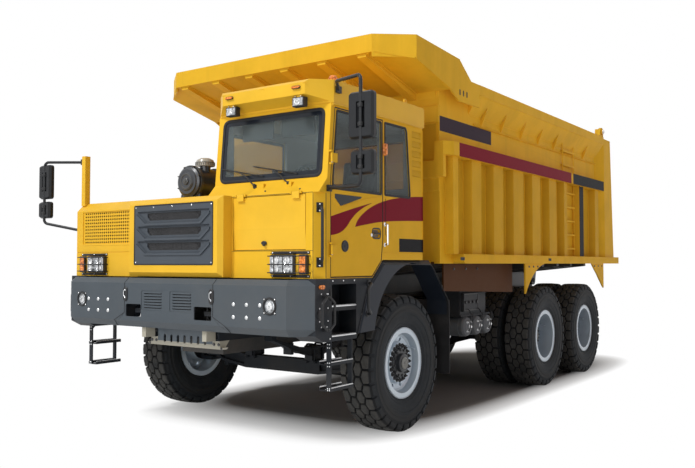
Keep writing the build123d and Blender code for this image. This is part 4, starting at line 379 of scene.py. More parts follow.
def tyre_marks(tree, base):
    """Dusty grey on the block tops, painted shade in the grooves, and faint rings on the sidewall."""
    radius = wheel_radius(tree)
    worn = ramp(tree, texture_noise(tree, 7.0, 6.0, 0.7), (0.3, (0.028, 0.030, 0.031)),
                (0.7, (0.085, 0.083, 0.078)))
    tops = ramp(tree, radius, (0.6655, BLACK), (0.6735, WHITE))
    # The second ring is painted shade: near black in the grooves between the blocks.
    for low, high, share, colour in ((0.512, 0.575, 0.45, (0.034, 0.034, 0.033)),
                                     (0.647, 0.6665, 0.75, (0.004,) * 3)):
        base = mix_colour(tree, times(tree, within(tree, radius, low, high), share), base, colour)
    return mix_colour(tree, tops, base, worn)


yellow = paint("yellow", YELLOW, 0.40, 0.05, coat=0.05, specular=0.2)
bed_yellow = paint("bed_yellow", YELLOW, 0.50, 0.03, coat=0, marks=bed_marks, streaks=0.22, ripple=0.09,
                   specular=0.07)
cab_yellow = paint("cab_yellow", YELLOW, 0.44, 0.015, coat=0, marks=cab_marks, specular=0.07)
grey = paint("bumper_grey", GREY, 0.46, 0.07, coat=0.02, marks=bumper_marks, specular=0.2)
vent_grey = paint("vent_grey", GREY, 0.46, 0.07, coat=0.02, marks=vent_marks, specular=0.2)
grille_grey = paint("grille_grey", (0.060, 0.072, 0.088), 0.42, 0.05, coat=0.03, specular=0.25)
chassis = paint("chassis_black", (0.016, 0.02, 0.026), 0.46, 0.08, coat=0, specular=0.15,
                marks=air_tank_marks)
fender = paint("fender_blue_black", (0.011, 0.016, 0.026), 0.36, 0.03, coat=0.03, specular=0.18)
cream = paint("guard_cream", CREAM, 0.5, 0.1, marks=guard_marks)
silver = paint("rim_silver", (0.58, 0.68, 0.77), 0.33, 0.05, metallic=0.25, marks=rim_marks)
rim_edge = paint("rim_edge", (0.46, 0.52, 0.58), 0.35, 0.06, metallic=0.25)
iron = paint("engine_iron", (0.05, 0.05, 0.05), 0.7, 0.2)
bed_steel = paint("bed_frame_black", (0.022, 0.025, 0.03), 0.5, 0.16)
cleaner = paint("cleaner_black", (0.022, 0.026, 0.034), 0.3, 0.05, coat=0.4, marks=cleaner_marks)
cleaner_trim = paint("cleaner_trim", (0.06, 0.062, 0.062), 0.35, 0.08, metallic=0.3)
lamp_black = paint("lamp_black", LAMP_BLACK, 0.38, 0.04, marks=lamp_marks)
satin_black = paint("satin_black", LAMP_BLACK, 0.42, 0.04, coat=0.05, specular=0.3)
cap_grey = paint("cap_grey", (0.20, 0.21, 0.20), 0.5, 0.12)
black = plastic("black_plastic", (0.014, 0.0155, 0.018), 0.38)
headliner = plastic("inner_trim", (0.33, 0.35, 0.36), 0.7, 260.0)
frit = plastic("screen_border", (0.012, 0.016, 0.024), 0.15)
dark_glass = plastic("dark_glass", (0.010, 0.014, 0.020), 0.06)
tyre_rubber = rubber("tyre_rubber", (0.016, 0.019, 0.022), marks=tyre_marks)
seal_rubber = rubber("seal_rubber", (0.016, 0.017, 0.019), 0.55, 0.08)
flap_rubber = rubber("flap_rubber", (0.012, 0.012, 0.013), 0.7)
glass = window_glass("cab_glass", (0.36, 0.42, 0.43), 0.11)
chrome = metal("chrome", (0.75, 0.76, 0.78), 0.15, 1.0)
zinc = metal("zinc_bolts", (0.72, 0.73, 0.74), 0.28, 0.95)
dark_steel = metal("dark_steel", (0.12, 0.12, 0.125), 0.4, 0.8)
worn_steel = metal("worn_steel", (0.20, 0.17, 0.14), 0.45, 0.6)
core = metal("cooler_core", (0.035, 0.035, 0.038), 0.6, 0.5)
mirror_glass = metal("mirror_glass", (0.82, 0.85, 0.88), 0.04, 1.0)
clear_lens = fluted("clear_lens", (0.42, 0.44, 0.46), 0.04, metallic=0.3)
bright_lens = fluted("bright_lens", (0.62, 0.64, 0.66), 0.12)
amber_lens = fluted("amber_lens", (0.78, 0.20, 0.012), 0.12)
red_lens = fluted("red_lens", (0.45, 0.01, 0.01), 0.1)
fabric = cloth("seat_cloth", (0.055, 0.06, 0.07))

LOOKS = (
    (chassis, "frame steps fuel_tank air_tanks front_axle leaf_springs drive_axles drive_shafts knuckle_left "
              "knuckle_right tie_rod hoist_barrels"),
    (yellow, "engine_hood cab_roof cab_flap"), (bed_yellow, "bed_tub bed_canopy bed_skirts tailgate"),
    (cab_yellow, "cab_shell cab_door"), (grey, "bumper_centre bumper_ends"), (cream, "front_guard"),
    (vent_grey, "vent_panels"), (grille_grey, "grille"), (iron, "engine_block"), (lamp_black, "headlamps"),
    (satin_black, "lamp_guards roof_lamps grab_handles"), (clear_lens, "lamp_lenses"),
    (amber_lens, "indicators"),
    (glass, "cab_glass door_glass"), (fabric, "seat"), (black, "dashboard mirrors"), (cleaner, "air_cleaner"),
    (fender, "fenders"), (flap_rubber, "mud_flaps"), (bed_steel, "bed_subframe bed_bearers"),
    (chrome, "hoist_stages hoist_rods"),
)
look = {name: material for material, names in LOOKS for name in names.split()}
for name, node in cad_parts.items():
    chosen = tyre_rubber if name.startswith("tyre_") else silver if name.startswith("rim_") else look[name]
    node.data.materials.clear()
    node.data.materials.append(chosen)

# Mesh builders: each adds closed solids to a bmesh, in the truck's frame
BOTH = (-1, 1)
ACROSS, BACK, AHEAD, UP, DOWN = (1, 0, 0), (0, 1, 0), (0, -1, 0), (0, 0, 1), (0, 0, -1)


def row(start, end, count):
    """Evenly spaced numbers from start to end."""
    return [start + (end - start) * n / (count - 1) for n in range(count)]


def turns(count, phase=0.0):
    """Angles of evenly spaced points on a circle."""
    return [phase + 2 * math.pi * n / count for n in range(count)]


def around(centre, radius, count, x, phase=0.0):
    """Points on a circle about a line along X."""
    return [(x, centre[0] + radius * math.cos(t), centre[1] + radius * math.sin(t))
            for t in turns(count, phase)]


def oval(count, wide, high, stretch_wide=0.0, stretch_high=0.0):
    """Outline of (across, up), with straight stretches between its rounded quarters."""
    quarters = [(math.cos(t), math.sin(t)) for t in turns(count, math.pi / count)]
    return [(wide * c + math.copysign(stretch_wide, c), high * s + math.copysign(stretch_high, s))
            for c, s in quarters]


def box(bm, low, high, bevel=0.003, segments=2):
    """Box with rounded edges."""
    low, high = Vector(low), Vector(high)
    size = [abs(b - a) for a, b in zip(low, high)]
    place = Matrix.Translation((low + high) / 2) @ Matrix.Diagonal((*size, 1))
    made = bmesh.ops.create_cube(bm, size=1, matrix=place)
    edges = list({e for v in made["verts"] for e in v.link_edges})
    if bevel:
        bmesh.ops.bevel(bm, geom=edges, offset=min(bevel, min(size) * 0.45), segments=segments,
                        affect="EDGES", profile=0.5)


def cube(bm, middle, half, bevel=0.003, segments=2):
    """Box with rounded edges from its middle and half sizes."""
    box(bm, Vector(middle) - Vector(half), Vector(middle) + Vector(half), bevel, segments)


def skin(bm, rings, closed=False):
    """Quads between successive rings of points, with capped ends."""
    made = [[bm.verts.new(p) for p in ring] for ring in rings]
    pairs = list(zip(made, made[1:]))
    if closed:
        pairs.append((made[-1], made[0]))
    for one, two in pairs:
        count = max(len(one), len(two))
        for n in range(count):
            m = (n + 1) % count
            if len(one) == 1:
                bm.faces.new((one[0], two[m], two[n]))
            elif len(two) == 1:
                bm.faces.new((one[n], one[m], two[0]))
            else:
                bm.faces.new((one[n], one[m], two[m], two[n]))
    if not closed:
        for ring in (made[0], made[-1]):
            if len(ring) > 2:
                bm.faces.new(ring)


def circle(centre, across, up, radius, sides):
    """Ring of points about a centre, in the plane of two directions."""
    return [centre + (across * math.cos(t) + up * math.sin(t)) * radius for t in turns(sides)]


def lathe(bm, outline, origin, axis, sides=24, closed=False):
    """Solid of revolution; the outline is (distance along the axis, radius)."""
    axis = Vector(axis).normalized()
    across = Vector(UP) if abs(axis.z) < 0.9 else Vector(ACROSS)
    across = (across - axis * across.dot(axis)).normalized()
    up = axis.cross(across)
    rings = []
    for along, radius in outline:
        centre = Vector(origin) + axis * along
        rings.append([centre] if radius < 1e-6 else circle(centre, across, up, radius, sides))
    skin(bm, rings, closed)


def hex_bolt(bm, place, axis, size):
    """Chamfered hexagon head on a washer; size is half the width across corners."""
    washer = ((-0.3, 0), (-0.3, 1.3), (0.16, 1.3), (0.2, 1.2), (0.2, 0))
    head = ((0.1, 0), (0.1, 1), (0.75, 1), (0.9, 0.84), (0.9, 0))
    lathe(bm, [(a * size, r * size) for a, r in washer], place, axis, 14)
    lathe(bm, [(a * size, r * size) for a, r in head], place, axis, 6)


def dome_bolt(bm, place, axis, size):
    """Round-headed bolt."""
    dome = ((-0.3, 0), (-0.3, 1), (0.15, 1), (0.4, 0.8), (0.55, 0.4), (0.58, 0))
    lathe(bm, [(a * size, r * size) for a, r in dome], place, axis, 12)


def domes(bm, axis, size, spots):
    """Round-headed bolts at several spots."""
    for spot in spots:
        dome_bolt(bm, spot, axis, size)


def hexes(bm, axis, size, spots):
    """Hexagon bolts at several spots."""
    for spot in spots:
        hex_bolt(bm, spot, axis, size)


def through(points, steps=6):
    """Smooth curve through points."""
    points = [Vector(p) for p in points]
    last = len(points) - 1
    curve = []
    for n in range(last):
        p = [points[min(max(n + k - 1, 0), last)] for k in range(4)]
        for s in range(steps):
            t = s / steps
            curve.append(0.5 * (2 * p[1] + (p[2] - p[0]) * t + (2 * p[0] - 5 * p[1] + 4 * p[2] - p[3]) * t * t
                                + (3 * p[1] - p[0] - 3 * p[2] + p[3]) * t ** 3))
    return curve + [points[-1]]


def filleted(points, radius, steps=4, closed=False):
    """Path with its corners rounded off."""
    points = [Vector(p) for p in points]
    count = len(points)
    path = []
    for n, point in enumerate(points):
        if not closed and n in (0, count - 1):
            path.append(point)
            continue
        before, after = points[n - 1], points[(n + 1) % count]
        reach = min(radius, (before - point).length * 0.45, (after - point).length * 0.45)
        start = point + (before - point).normalized() * reach
        end = point + (after - point).normalized() * reach
        for s in range(steps + 1):
            t = s / steps
            path.append(start * (1 - t) ** 2 + point * 2 * t * (1 - t) + end * t * t)
    return path


def front_loop(y, x, z, radius, steps=3):
    """Rounded rectangle in a plane across the truck; x and z are its spans."""
    return filleted([(x[0], y, z[0]), (x[1], y, z[0]), (x[1], y, z[1]), (x[0], y, z[1])], radius, steps, True)


def side_loop(x, points, radius, steps=4):
    """Rounded loop in a plane at a fixed X, from (y, z) points."""
    return filleted([(x, y, z) for y, z in points], radius, steps, True)


def tube(bm, path, radius, sides=10):
    """Round bar along a path, with rounded ends."""
    path = [Vector(p) for p in path]
    tangent = (path[1] - path[0]).normalized()
    across = tangent.orthogonal().normalized()
    rings = [[path[0] - tangent * radius * 0.3]]
    for n, point in enumerate(path):
        tangent = (path[min(n + 1, len(path) - 1)] - path[max(n - 1, 0)]).normalized()
        across = (across - tangent * across.dot(tangent)).normalized()
        rings.append(circle(point, across, tangent.cross(across), radius, sides))
    rings.append([path[-1] + tangent * radius * 0.3])
    skin(bm, rings)


def band(bm, loop, normal, section):
    """Moulding round a flat loop; its section is (distance outward in the plane, height)."""
    loop = [Vector(p) for p in loop]
    normal = Vector(normal).normalized()
    rings = []
    for n, point in enumerate(loop):
        arrive = (point - loop[n - 1]).normalized()
        leave = (loop[(n + 1) % len(loop)] - point).normalized()
        side = (arrive.cross(normal) + leave.cross(normal)).normalized()
        stretch = 1 / max(0.5, side.dot(arrive.cross(normal).normalized()))
        rings.append([point + side * out * stretch + normal * rise for out, rise in section])
    skin(bm, rings, True)


def slab(bm, outline, out, thickness, bevel=0.002):
    """Flat plate of any outline with a bevelled front edge, built out along a direction."""
    out = Vector(out).normalized()
    base = [Vector(p) for p in outline]
    middle = sum(base, Vector()) / len(base)
    shrunk = []
    for point in base:
        inward = middle - point
        shrunk.append(point + inward.normalized() * min(bevel * 1.4, inward.length * 0.4))
    skin(bm, [base, [p + out * (thickness - bevel) for p in base], [p + out * thickness for p in shrunk]])


def piece(name, bm, material, body="chassis", angle=34):
    """Finished mesh object that rides on a body."""
    bmesh.ops.recalc_face_normals(bm, faces=bm.faces)
    limit = math.radians(angle)
    for face in bm.faces:
        face.smooth = True
    for edge in bm.edges:
        edge.smooth = len(edge.link_faces) == 2 and edge.calc_face_angle(0) < limit
    mesh = bpy.data.meshes.new(name)
    bm.to_mesh(mesh)
    bm.free()
    mesh.materials.append(material)
    obj = bpy.data.objects.new(name, mesh)
    bpy.context.scene.collection.objects.link(obj)
    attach(obj, body)
    return obj


# Tyres: carcass with ringed sidewalls and four rows of hexagonal blocks, standing for the plain ones
BLOCKS = 30
CROWN = 0.6832
HALF_BLOCK = 0.0610
sidewall = [
    (0.127, 0.3185), (0.127, 0.350), (0.139, 0.360), (0.1455, 0.371), (0.1445, 0.379), (0.155, 0.394),
    (0.162, 0.402), (0.1615, 0.410), (0.1705, 0.434), (0.174, 0.440), (0.1745, 0.447), (0.1795, 0.466),
    (0.1795, 0.488), (0.1845, 0.491), (0.187, 0.512), (0.1855, 0.534), (0.1825, 0.537), (0.181, 0.560),
    (0.1835, 0.565), (0.1825, 0.574), (0.1785, 0.578), (0.172, 0.606), (0.156, 0.644), (0.12, 0.654),
    (0.08, 0.658), (0.03, 0.661),
]


def tread_point(x, arc, radius, turn):
    """Point on the tyre from its distance across, its arc along the tread and its radius."""
    angle = turn + arc / HUB_Z
    return Vector((x, -radius * math.cos(angle), radius * math.sin(angle)))


def tread_block(bm, side, tip, near, far, end, turn, grow):
    """Raised hexagonal block from its four places across the tread, with a foot that is wider by grow."""
    half = HALF_BLOCK
    corners = ((tip, 0), (near, -half), (far, -half), (end, 0), (far, half), (near, half))
    outline = [(side * x, arc) for x, arc in corners]
    middle_x = sum(x for x, _ in outline) / len(outline)
    middle_arc = sum(a for _, a in outline) / len(outline)
    rings = []
    for wider, drop in ((grow, 0.028), (0, 0.005), (-0.004, 0)):
        ring = []
        for x, arc in outline:
            reach = 1 + wider / math.hypot(x - middle_x, arc - middle_arc)
            wide_x = middle_x + (x - middle_x) * reach
            radius = CROWN - 0.28 * wide_x * wide_x - drop
            ring.append(tread_point(wide_x, middle_arc + (arc - middle_arc) * reach, radius, turn))
        rings.append(ring)
    skin(bm, rings)


def cheek_block(bm, side, turn):
    """Block that runs from the shoulder down the sidewall."""
    section = ((0.140, 0.6765), (0.155, 0.6745), (0.1795, 0.640), (0.1825, 0.604), (0.168, 0.600),
               (0.140, 0.640))
    rings = []
    for arc, rise in ((-0.057, -0.004), (-0.051, 0), (0.051, 0), (0.057, -0.004)):
        rings.append([tread_point(side * x, arc * (1 if r > 0.65 else 0.93), r + rise, turn)
                      for x, r in section])
    skin(bm, rings)


bm = bmesh.new()
lathe(bm, sidewall + [(-x, r) for x, r in reversed(sidewall)], (0, 0, 0), ACROSS, 4 * BLOCKS, True)
for number in range(BLOCKS):
    for side in BOTH:
        stagger = 0 if side > 0 else 0.5
        turn = 2 * math.pi * (number + stagger) / BLOCKS
        tread_block(bm, side, 0.084, 0.063, 0.019, -0.002, turn, 0.004)
        turn += math.pi / BLOCKS
        tread_block(bm, side, 0.079, 0.099, 0.150, 0.158, turn, 0.003)
        cheek_block(bm, side, turn)
tyre_form = bpy.data.meshes.new("tyre_form")
bmesh.ops.recalc_face_normals(bm, faces=bm.faces)
bm.to_mesh(tyre_form)
bm.free()

# Wheels: X of the tyres' middles, nuts and their circle, inner bolts and theirs, hub cap, valve, rim's edge
SINGLE = ((1.405,), (1.503, 0.174), (1.523, 0.128, 12), 1.561, 1.523, 1.551)
TWIN = ((1.035, 1.465), (1.436, 0.152), (1.468, 0.106, 14), 1.482, 1.495, 1.611)
RIM_R, VALVE_R, VALVE_TURN = 0.3085, 0.268, 0.5
wheels = [(station, axle_y, hand, side, places)
          for station, axle_y, places in (("front", FRONT_AXLE, SINGLE), ("mid", MID_AXLE, TWIN),
                                          ("rear", REAR_AXLE, TWIN))
          for hand, side in (("left", 1), ("right", -1))]
for station, axle_y, hand, side, places in wheels:
    centres, (nut_x, nut_r), (stud_x, stud_r, studs), cap_x, valve_x, edge_x = places
    wheel = f"{station}_{hand}"
    hub = (axle_y, HUB_Z)
    out = (side, 0, 0)
    bm = bmesh.new()
    for centre in centres:
        before = len(bm.verts)
        bm.from_mesh(tyre_form)
        bm.verts.ensure_lookup_table()
        bmesh.ops.translate(bm, verts=bm.verts[before:], vec=(side * centre, *hub))
    tread = piece(f"treaded_tyre_{wheel}", bm, tyre_rubber, f"wheel_{wheel}", angle=38)
    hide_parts(f"tyre_{wheel}")

    bm = bmesh.new()
    for spot in around(hub, nut_r, 20, side * nut_x):
        hex_bolt(bm, spot, out, 0.0185)
        lathe(bm, [(0.012, 0), (0.012, 0.0085), (0.030, 0.0085), (0.033, 0.006), (0.033, 0)], spot, out, 8)
    hexes(bm, out, 0.0115, around(hub, stud_r, studs, side * stud_x, 0.13))
    piece(f"wheel_nuts_{wheel}", bm, satin_black, f"wheel_{wheel}")

    bm = bmesh.new()
    lathe(bm, [(-0.004, 0), (-0.004, 0.060), (0.006, 0.060), (0.011, 0.055), (0.014, 0.044), (0.014, 0.040),
               (0.010, 0.037), (0.010, 0.014), (0.016, 0.012), (0.018, 0)], (side * cap_x, *hub), out, 32)
    domes(bm, out, 0.005, around(hub, 0.0495, 6, side * (cap_x + 0.011)))
    piece(f"hub_cap_{wheel}", bm, cap_grey, f"wheel_{wheel}")

    bm = bmesh.new()
    stem_y = axle_y + VALVE_R * math.cos(VALVE_TURN)
    stem_z = HUB_Z + VALVE_R * math.sin(VALVE_TURN)
    tube(bm, [(side * (valve_x - 0.05), stem_y, stem_z), (side * (valve_x - 0.01), stem_y, stem_z),
              (side * (valve_x + 0.018), stem_y - 0.012, stem_z - 0.007)], 0.0055, 8)
    lathe(bm, [(0, 0), (0, 0.008), (0.014, 0.008), (0.018, 0.005), (0.018, 0)],
          (side * (valve_x + 0.016), stem_y - 0.011, stem_z - 0.006), (side, -0.3, -0.2), 8)
    bead = ((-0.003, 0.042), (-0.003, 0.0455), (0.0035, 0.0445), (0.0045, 0.039), (0.001, 0.036))
    lathe(bm, [(side * a, RIM_R + r) for a, r in bead], (side * edge_x, *hub), ACROSS, 72, True)
    piece(f"rim_trim_{wheel}", bm, rim_edge, f"wheel_{wheel}")

# Bumper: bolts, lamp bezels, hood latches, and the tow pins behind the windows
BUMPER_FACE = -4.256
BUMPER_LAMP_X, BUMPER_LAMP_Z = 1.268, 1.316
LATCH_X = 0.585
HEADLAMPS = [(x, z) for x in (1.203, 1.329) for z in (1.711, 1.634)]
HEADLAMP_Y = -4.0985
ROOF_LAMPS, ROOF_LAMP_Y, ROOF_LAMP_Z = (0.610, 1.400), -4.0455, 3.087


def lamp_corners(side, y, radius):
    """Four spots round the bumper's lamp."""
    return [(side * BUMPER_LAMP_X + radius * math.cos(t), y, BUMPER_LAMP_Z + radius * math.sin(t))
            for t in turns(4, math.pi / 4)]


bm = bmesh.new()
for side in BOTH:
    domes(bm, AHEAD, 0.0185, [(side * x, BUMPER_FACE, z) for x in (0.854, 1.007, 1.160)
                              for z in (1.322, 1.210)])
    domes(bm, AHEAD, 0.007, lamp_corners(side, BUMPER_FACE - 0.0025, 0.083))
piece("bumper_bolts", bm, zinc)

bm = bmesh.new()
for side in BOTH:
    lathe(bm, [(0.002, 0.0605), (-0.010, 0.0605), (-0.012, 0.064), (-0.010, 0.071), (-0.004, 0.076),
               (0.002, 0.077)],
          (side * BUMPER_LAMP_X, BUMPER_FACE - 0.0005, BUMPER_LAMP_Z), BACK, 32, True)
    for spot in lamp_corners(side, BUMPER_FACE - 0.001, 0.080):
        cube(bm, spot, (0.012, 0.003, 0.012), 0.002)
    slab(bm, [(side * LATCH_X + u, BUMPER_FACE - 0.0002, 1.382 + v)
              for u, v in oval(20, 0.030, 0.030, 0, 0.040)],
         AHEAD, 0.010, 0.004)
    for x, y, low_z, high_z, radius, sides in ((0.385, -4.10, 1.15, 1.30, 0.012, 8),
                                               (0.385, -4.06, 1.15, 1.30, 0.012, 8),
                                               (0.475, -4.08, 1.165, 1.275, 0.027, 14)):
        tube(bm, [(side * x, y, low_z), (side * x, y, high_z)], radius, sides)
    cube(bm, (side * 0.475, -4.08, 1.269), (0.055, 0.02, 0.007), 0.004)
piece("bumper_fittings", bm, satin_black)

bm = bmesh.new()
for side in BOTH:
    x = side * LATCH_X
    tube(bm, through([(x, -4.263, 1.425), (x - 0.012, -4.271, 1.41), (x - 0.012, -4.271, 1.37),
                      (x, -4.264, 1.35)]),
         0.0045, 8)
    dome_bolt(bm, (x, -4.2655, 1.42), AHEAD, 0.010)
    dome_bolt(bm, (x, -4.2655, 1.345), AHEAD, 0.007)
piece("hood_latch_loops", bm, chrome)

bm = bmesh.new()
for side in BOTH:
    seam = [(side * x, y, z) for x, y, z in (
        (0.602, -4.2065, 1.5405), (0.602, -4.2565, 1.490), (0.602, -4.2565, 1.20), (0.7515, -4.2565, 1.124),
        (0.772, -4.200, 1.0605))]
    for ends in zip(seam, seam[1:]):
        tube(bm, ends, 0.0028, 6)
piece("bumper_seams", bm, seal_rubber)

# Grille: crossed wire mesh, its dark backing, screws and the gasket round the panel
GRILLE_FACE = -4.2042
MESH_X = (-0.365, 0.385)
WIRE = ((-0.0016, -0.001), (0.0016, -0.001), (0.0016, 0.001), (-0.0016, 0.001))
bm = bmesh.new()
for z in (2.130, 1.985, 1.840):
    low_z, high_z = z - 0.040, z + 0.046
    for lean in BOTH:
        y = -4.1800 + 0.0016 * lean
        for n in range(-6, 62):
            x = n * 0.0135 - 0.37
            end_x = x + lean * (high_z - low_z)
            if min(x, end_x) >= MESH_X[0] and max(x, end_x) <= MESH_X[1]:
                skin(bm, [[(px + dx, y + dy, pz) for dx, dy in WIRE]
                          for px, pz in ((x, low_z), (end_x, high_z))])
piece("grille_mesh", bm, dark_steel)

bm = bmesh.new()
box(bm, (-0.52, -4.1730, 1.68), (0.54, -4.168, 2.235), 0.001, 1)
box(bm, (-1.53, -4.030, 1.89), (-0.745, -4.024, 2.225), 0.001, 1)
for side in BOTH:
    box(bm, (side * 0.05, -4.226, 1.235), (side * 0.35, -4.220, 1.415), 0.001, 1)
for n in range(46):
    x = -0.51 + n * 0.0228
    box(bm, (x, -4.1745, 1.69), (x + 0.004, -4.1725, 2.225), 0)
piece("cooler_screens", bm, core)

bm = bmesh.new()
domes(bm, AHEAD, 0.0075, [(x, GRILLE_FACE, 2.226) for x in (-0.505, -0.25, 0.010, 0.27, 0.525)])
domes(bm, AHEAD, 0.0075, [(x, GRILLE_FACE, 1.690) for x in (-0.505, 0.525)])
domes(bm, AHEAD, 0.005, [(x, -4.0542, z) for x in row(-1.545, -0.731, 7) for z in (2.2385, 1.8765)])
piece("grille_screws", bm, zinc)

bm = bmesh.new()
band(bm, front_loop(GRILLE_FACE, (-0.5245, 0.5445), (1.6705, 2.2445), 0.012), AHEAD,
     [(-0.006, -0.003), (-0.006, 0.002), (0, 0.0045), (0.006, 0.002), (0.006, -0.003)])
piece("grille_gasket", bm, seal_rubber)

# Frame of the hood's intake mesh, with raised hem
bm = bmesh.new()
mesh_loop = [(-1.541, -4.054, 1.880), (-0.735, -4.054, 1.880), (-0.735, -4.054, 2.235),
             (-1.541, -4.054, 2.235)]
band(bm, mesh_loop, AHEAD, [(-0.0065, -0.006), (-0.0065, 0.002), (-0.004, 0.0035), (0.008, 0.0035),
                            (0.010, 0.001), (0.010, -0.004)])
piece("intake_hem", bm, yellow)

# Headlamps: chrome reflector bowls with bright lenses in two rows, and the dark guard plates above and below
bm = bmesh.new()
for side in BOTH:
    for x, z in HEADLAMPS:
        lathe(bm, [(0.001, 0.033), (-0.005, 0.034), (-0.007, 0.037), (-0.0045, 0.0385), (0.001, 0.0385)],
              (side * x, HEADLAMP_Y, z), BACK, 24, True)
    bezel = ((-0.003, -0.003), (-0.003, 0.003), (0.003, 0.003), (0.003, -0.003))
    band(bm, front_loop(-4.099, (side * 1.144, side * 1.388), (1.599, 1.746), 0.012), (0, -side, 0),
         [(out, side * rise) for out, rise in bezel])
    box(bm, (side * 1.146, -4.102, 1.6705), (side * 1.386, -4.097, 1.6745), 0.001, 1)
for x in ROOF_LAMPS:
    lathe(bm, [(0.001, 0.026), (-0.004, 0.027), (-0.005, 0.030), (0.001, 0.031)],
          (x, ROOF_LAMP_Y, ROOF_LAMP_Z), BACK, 24, True)
for side in BOTH:
    lathe(bm, [(0.001, 0.030), (-0.005, 0.031), (-0.006, 0.035), (0.001, 0.037)],
          (side * BUMPER_LAMP_X, BUMPER_FACE + 0.0035, BUMPER_LAMP_Z), BACK, 28, True)
piece("lamp_reflector_rings", bm, chrome)

bm = bmesh.new()
for side in BOTH:
    for x, z in HEADLAMPS:
        lathe(bm, [(0.002, 0.033), (-0.001, 0.033), (-0.004, 0.026), (-0.0062, 0.014), (-0.007, 0)],
              (side * x, HEADLAMP_Y, z), BACK)
    lathe(bm, [(0.002, 0.030), (-0.003, 0.030), (-0.006, 0.020), (-0.008, 0)],
          (side * BUMPER_LAMP_X, BUMPER_FACE + 0.0035, BUMPER_LAMP_Z), BACK, 28)
for x in ROOF_LAMPS:
    lathe(bm, [(0.002, 0.026), (-0.002, 0.026), (-0.004, 0.014), (-0.005, 0)],
          (x, ROOF_LAMP_Y, ROOF_LAMP_Z), BACK)
piece("lamp_bulb_lenses", bm, bright_lens)

bm = bmesh.new()
for side in BOTH:
    for low_z, high_z in ((1.762, 1.786), (1.559, 1.583)):
        box(bm, (side * 1.122, -4.0595, low_z), (side * 1.546, -4.054, high_z), 0.002)
    for z in (1.768, 1.577):
        box(bm, (side * 1.140, -4.100, z - 0.002), (side * 1.40, -4.055, z + 0.002), 0.001, 1)
piece("lamp_guard_plates", bm, satin_black)

bm = bmesh.new()
domes(bm, AHEAD, 0.007, [(side * x, -4.0597, z) for side in BOTH for x in (1.135, 1.335,
                                                                           1.53) for z in (1.774, 1.571)])
piece("lamp_guard_bolts", bm, zinc)

# Windscreen: dark printed border on the glass, rubber seal, inner post and the visors inside
SCREEN_OUT = Vector((0, -0.660, 0.060)).normalized()
SCREEN_X, SCREEN_Z = (0.382, 1.568), (2.445, 3.035)
CAB_SIDE = 1.640
CAB_FACE = -4.0505


def screen_point(x, z, out=0.0):
    """Point on the raked windscreen plane, moved out by a distance."""
    return Vector((x, -3.934 + (z - 2.420) / 0.660 * 0.060, z)) + SCREEN_OUT * out


def screen_loop(margin, out, radius):
    """Rounded loop inside the windscreen's opening."""
    (low_x, high_x), (low_z, high_z) = SCREEN_X, SCREEN_Z
    corners = ((low_x + margin, low_z + margin), (high_x - margin, low_z + margin),
               (high_x - margin, high_z - margin), (low_x + margin, high_z - margin))
    return filleted([screen_point(x, z, out) for x, z in corners], radius, 5, True)


bm = bmesh.new()
band(bm, screen_loop(0.002, 0.0, 0.06), SCREEN_OUT, [
    (-0.013, -0.002), (-0.013, 0.004), (-0.008, 0.0075), (0.004, 0.0085), (0.013, 0.006), (0.016, 0.001),
    (0.016, -0.001)])
piece("windscreen_seal", bm, seal_rubber)

bm = bmesh.new()
band(bm, screen_loop(0.010, -0.0005, 0.056), SCREEN_OUT,
     [(-0.042, -0.0012), (-0.042, -0.0002), (0.004, -0.0002), (0.004, -0.0012)])
piece("windscreen_border", bm, frit)

door_window = [(-3.854, 2.335), (-3.854, 2.424), (-3.792, 3.023), (-3.068, 3.023), (-3.068, 2.335)]
quarter_window = [(-3.004, 2.335), (-3.004, 3.028), (-2.614, 3.028), (-2.592, 2.990), (-2.530, 2.360),
                  (-2.544, 2.335)]
right_window = [(-3.720, 2.450), (-3.720, 2.950), (-2.900, 2.950), (-2.900, 2.450)]
seal_section = [(-0.010, -0.002), (-0.010, 0.003), (-0.004, 0.0055), (0.006, 0.0055), (0.011, 0.003),
                (0.012, -0.001)]
border_section = [(-0.034, 0), (-0.034, 0.001), (0.002, 0.001), (0.002, 0)]
for name, points, x, out, body in (
        ("door", door_window, CAB_SIDE, 1, "cab_door"), ("quarter", quarter_window, CAB_SIDE, 1, "chassis"),
        ("right", right_window, 0.310, -1, "chassis")):
    bm = bmesh.new()
    band(bm, side_loop(x, points, 0.012), (out, 0, 0), seal_section)
    piece(f"{name}_window_seal", bm, seal_rubber, body)
    bm = bmesh.new()
    band(bm, side_loop(x - out * 0.0058, points, 0.012), (out, 0, 0), border_section)
    piece(f"{name}_window_border", bm, frit, body)
bm = bmesh.new()
rear_window = [(0.50, -2.278, 2.45), (0.50, -2.278, 2.95), (1.44, -2.278, 2.95), (1.44, -2.278, 2.45)]
band(bm, filleted(rear_window, 0.02, 4, True), BACK, seal_section)
piece("rear_window_seal", bm, seal_rubber)

bm = bmesh.new()
for x in (0.74, 1.215):
    box(bm, (x - 0.19, -3.815, 2.835), (x + 0.19, -3.79, 3.012), 0.010, 3)
    for pin_x in (x - 0.15, x + 0.15):
        tube(bm, [(pin_x, -3.80, 3.005), (pin_x, -3.80, 3.034)], 0.008, 8)
box(bm, (1.44, -3.83, 2.60), (1.50, -3.80, 3.02), 0.008)
box(bm, (0.94, -3.845, 2.42), (0.985, -3.80, 2.54), 0.010)
box(bm, (0.62, -3.80, 2.405), (0.86, -3.66, 2.470), 0.014, 3)
for x in (1.12, 1.20, 1.28):
    lathe(bm, [(0, 0.030), (0.008, 0.034), (0.012, 0.030), (0.012, 0)], (x, -3.74, 2.418), (0, 0.2, 1), 20)
piece("cab_inside_fittings", bm, black)

bm = bmesh.new()
box(bm, (0.36, -3.75, 3.030), (1.59, -2.33, 3.034), 0.001, 1)
box(bm, (0.356, -3.83, 1.62), (0.362, -3.74, 3.03), 0.002)
piece("cab_headliner", bm, headliner)

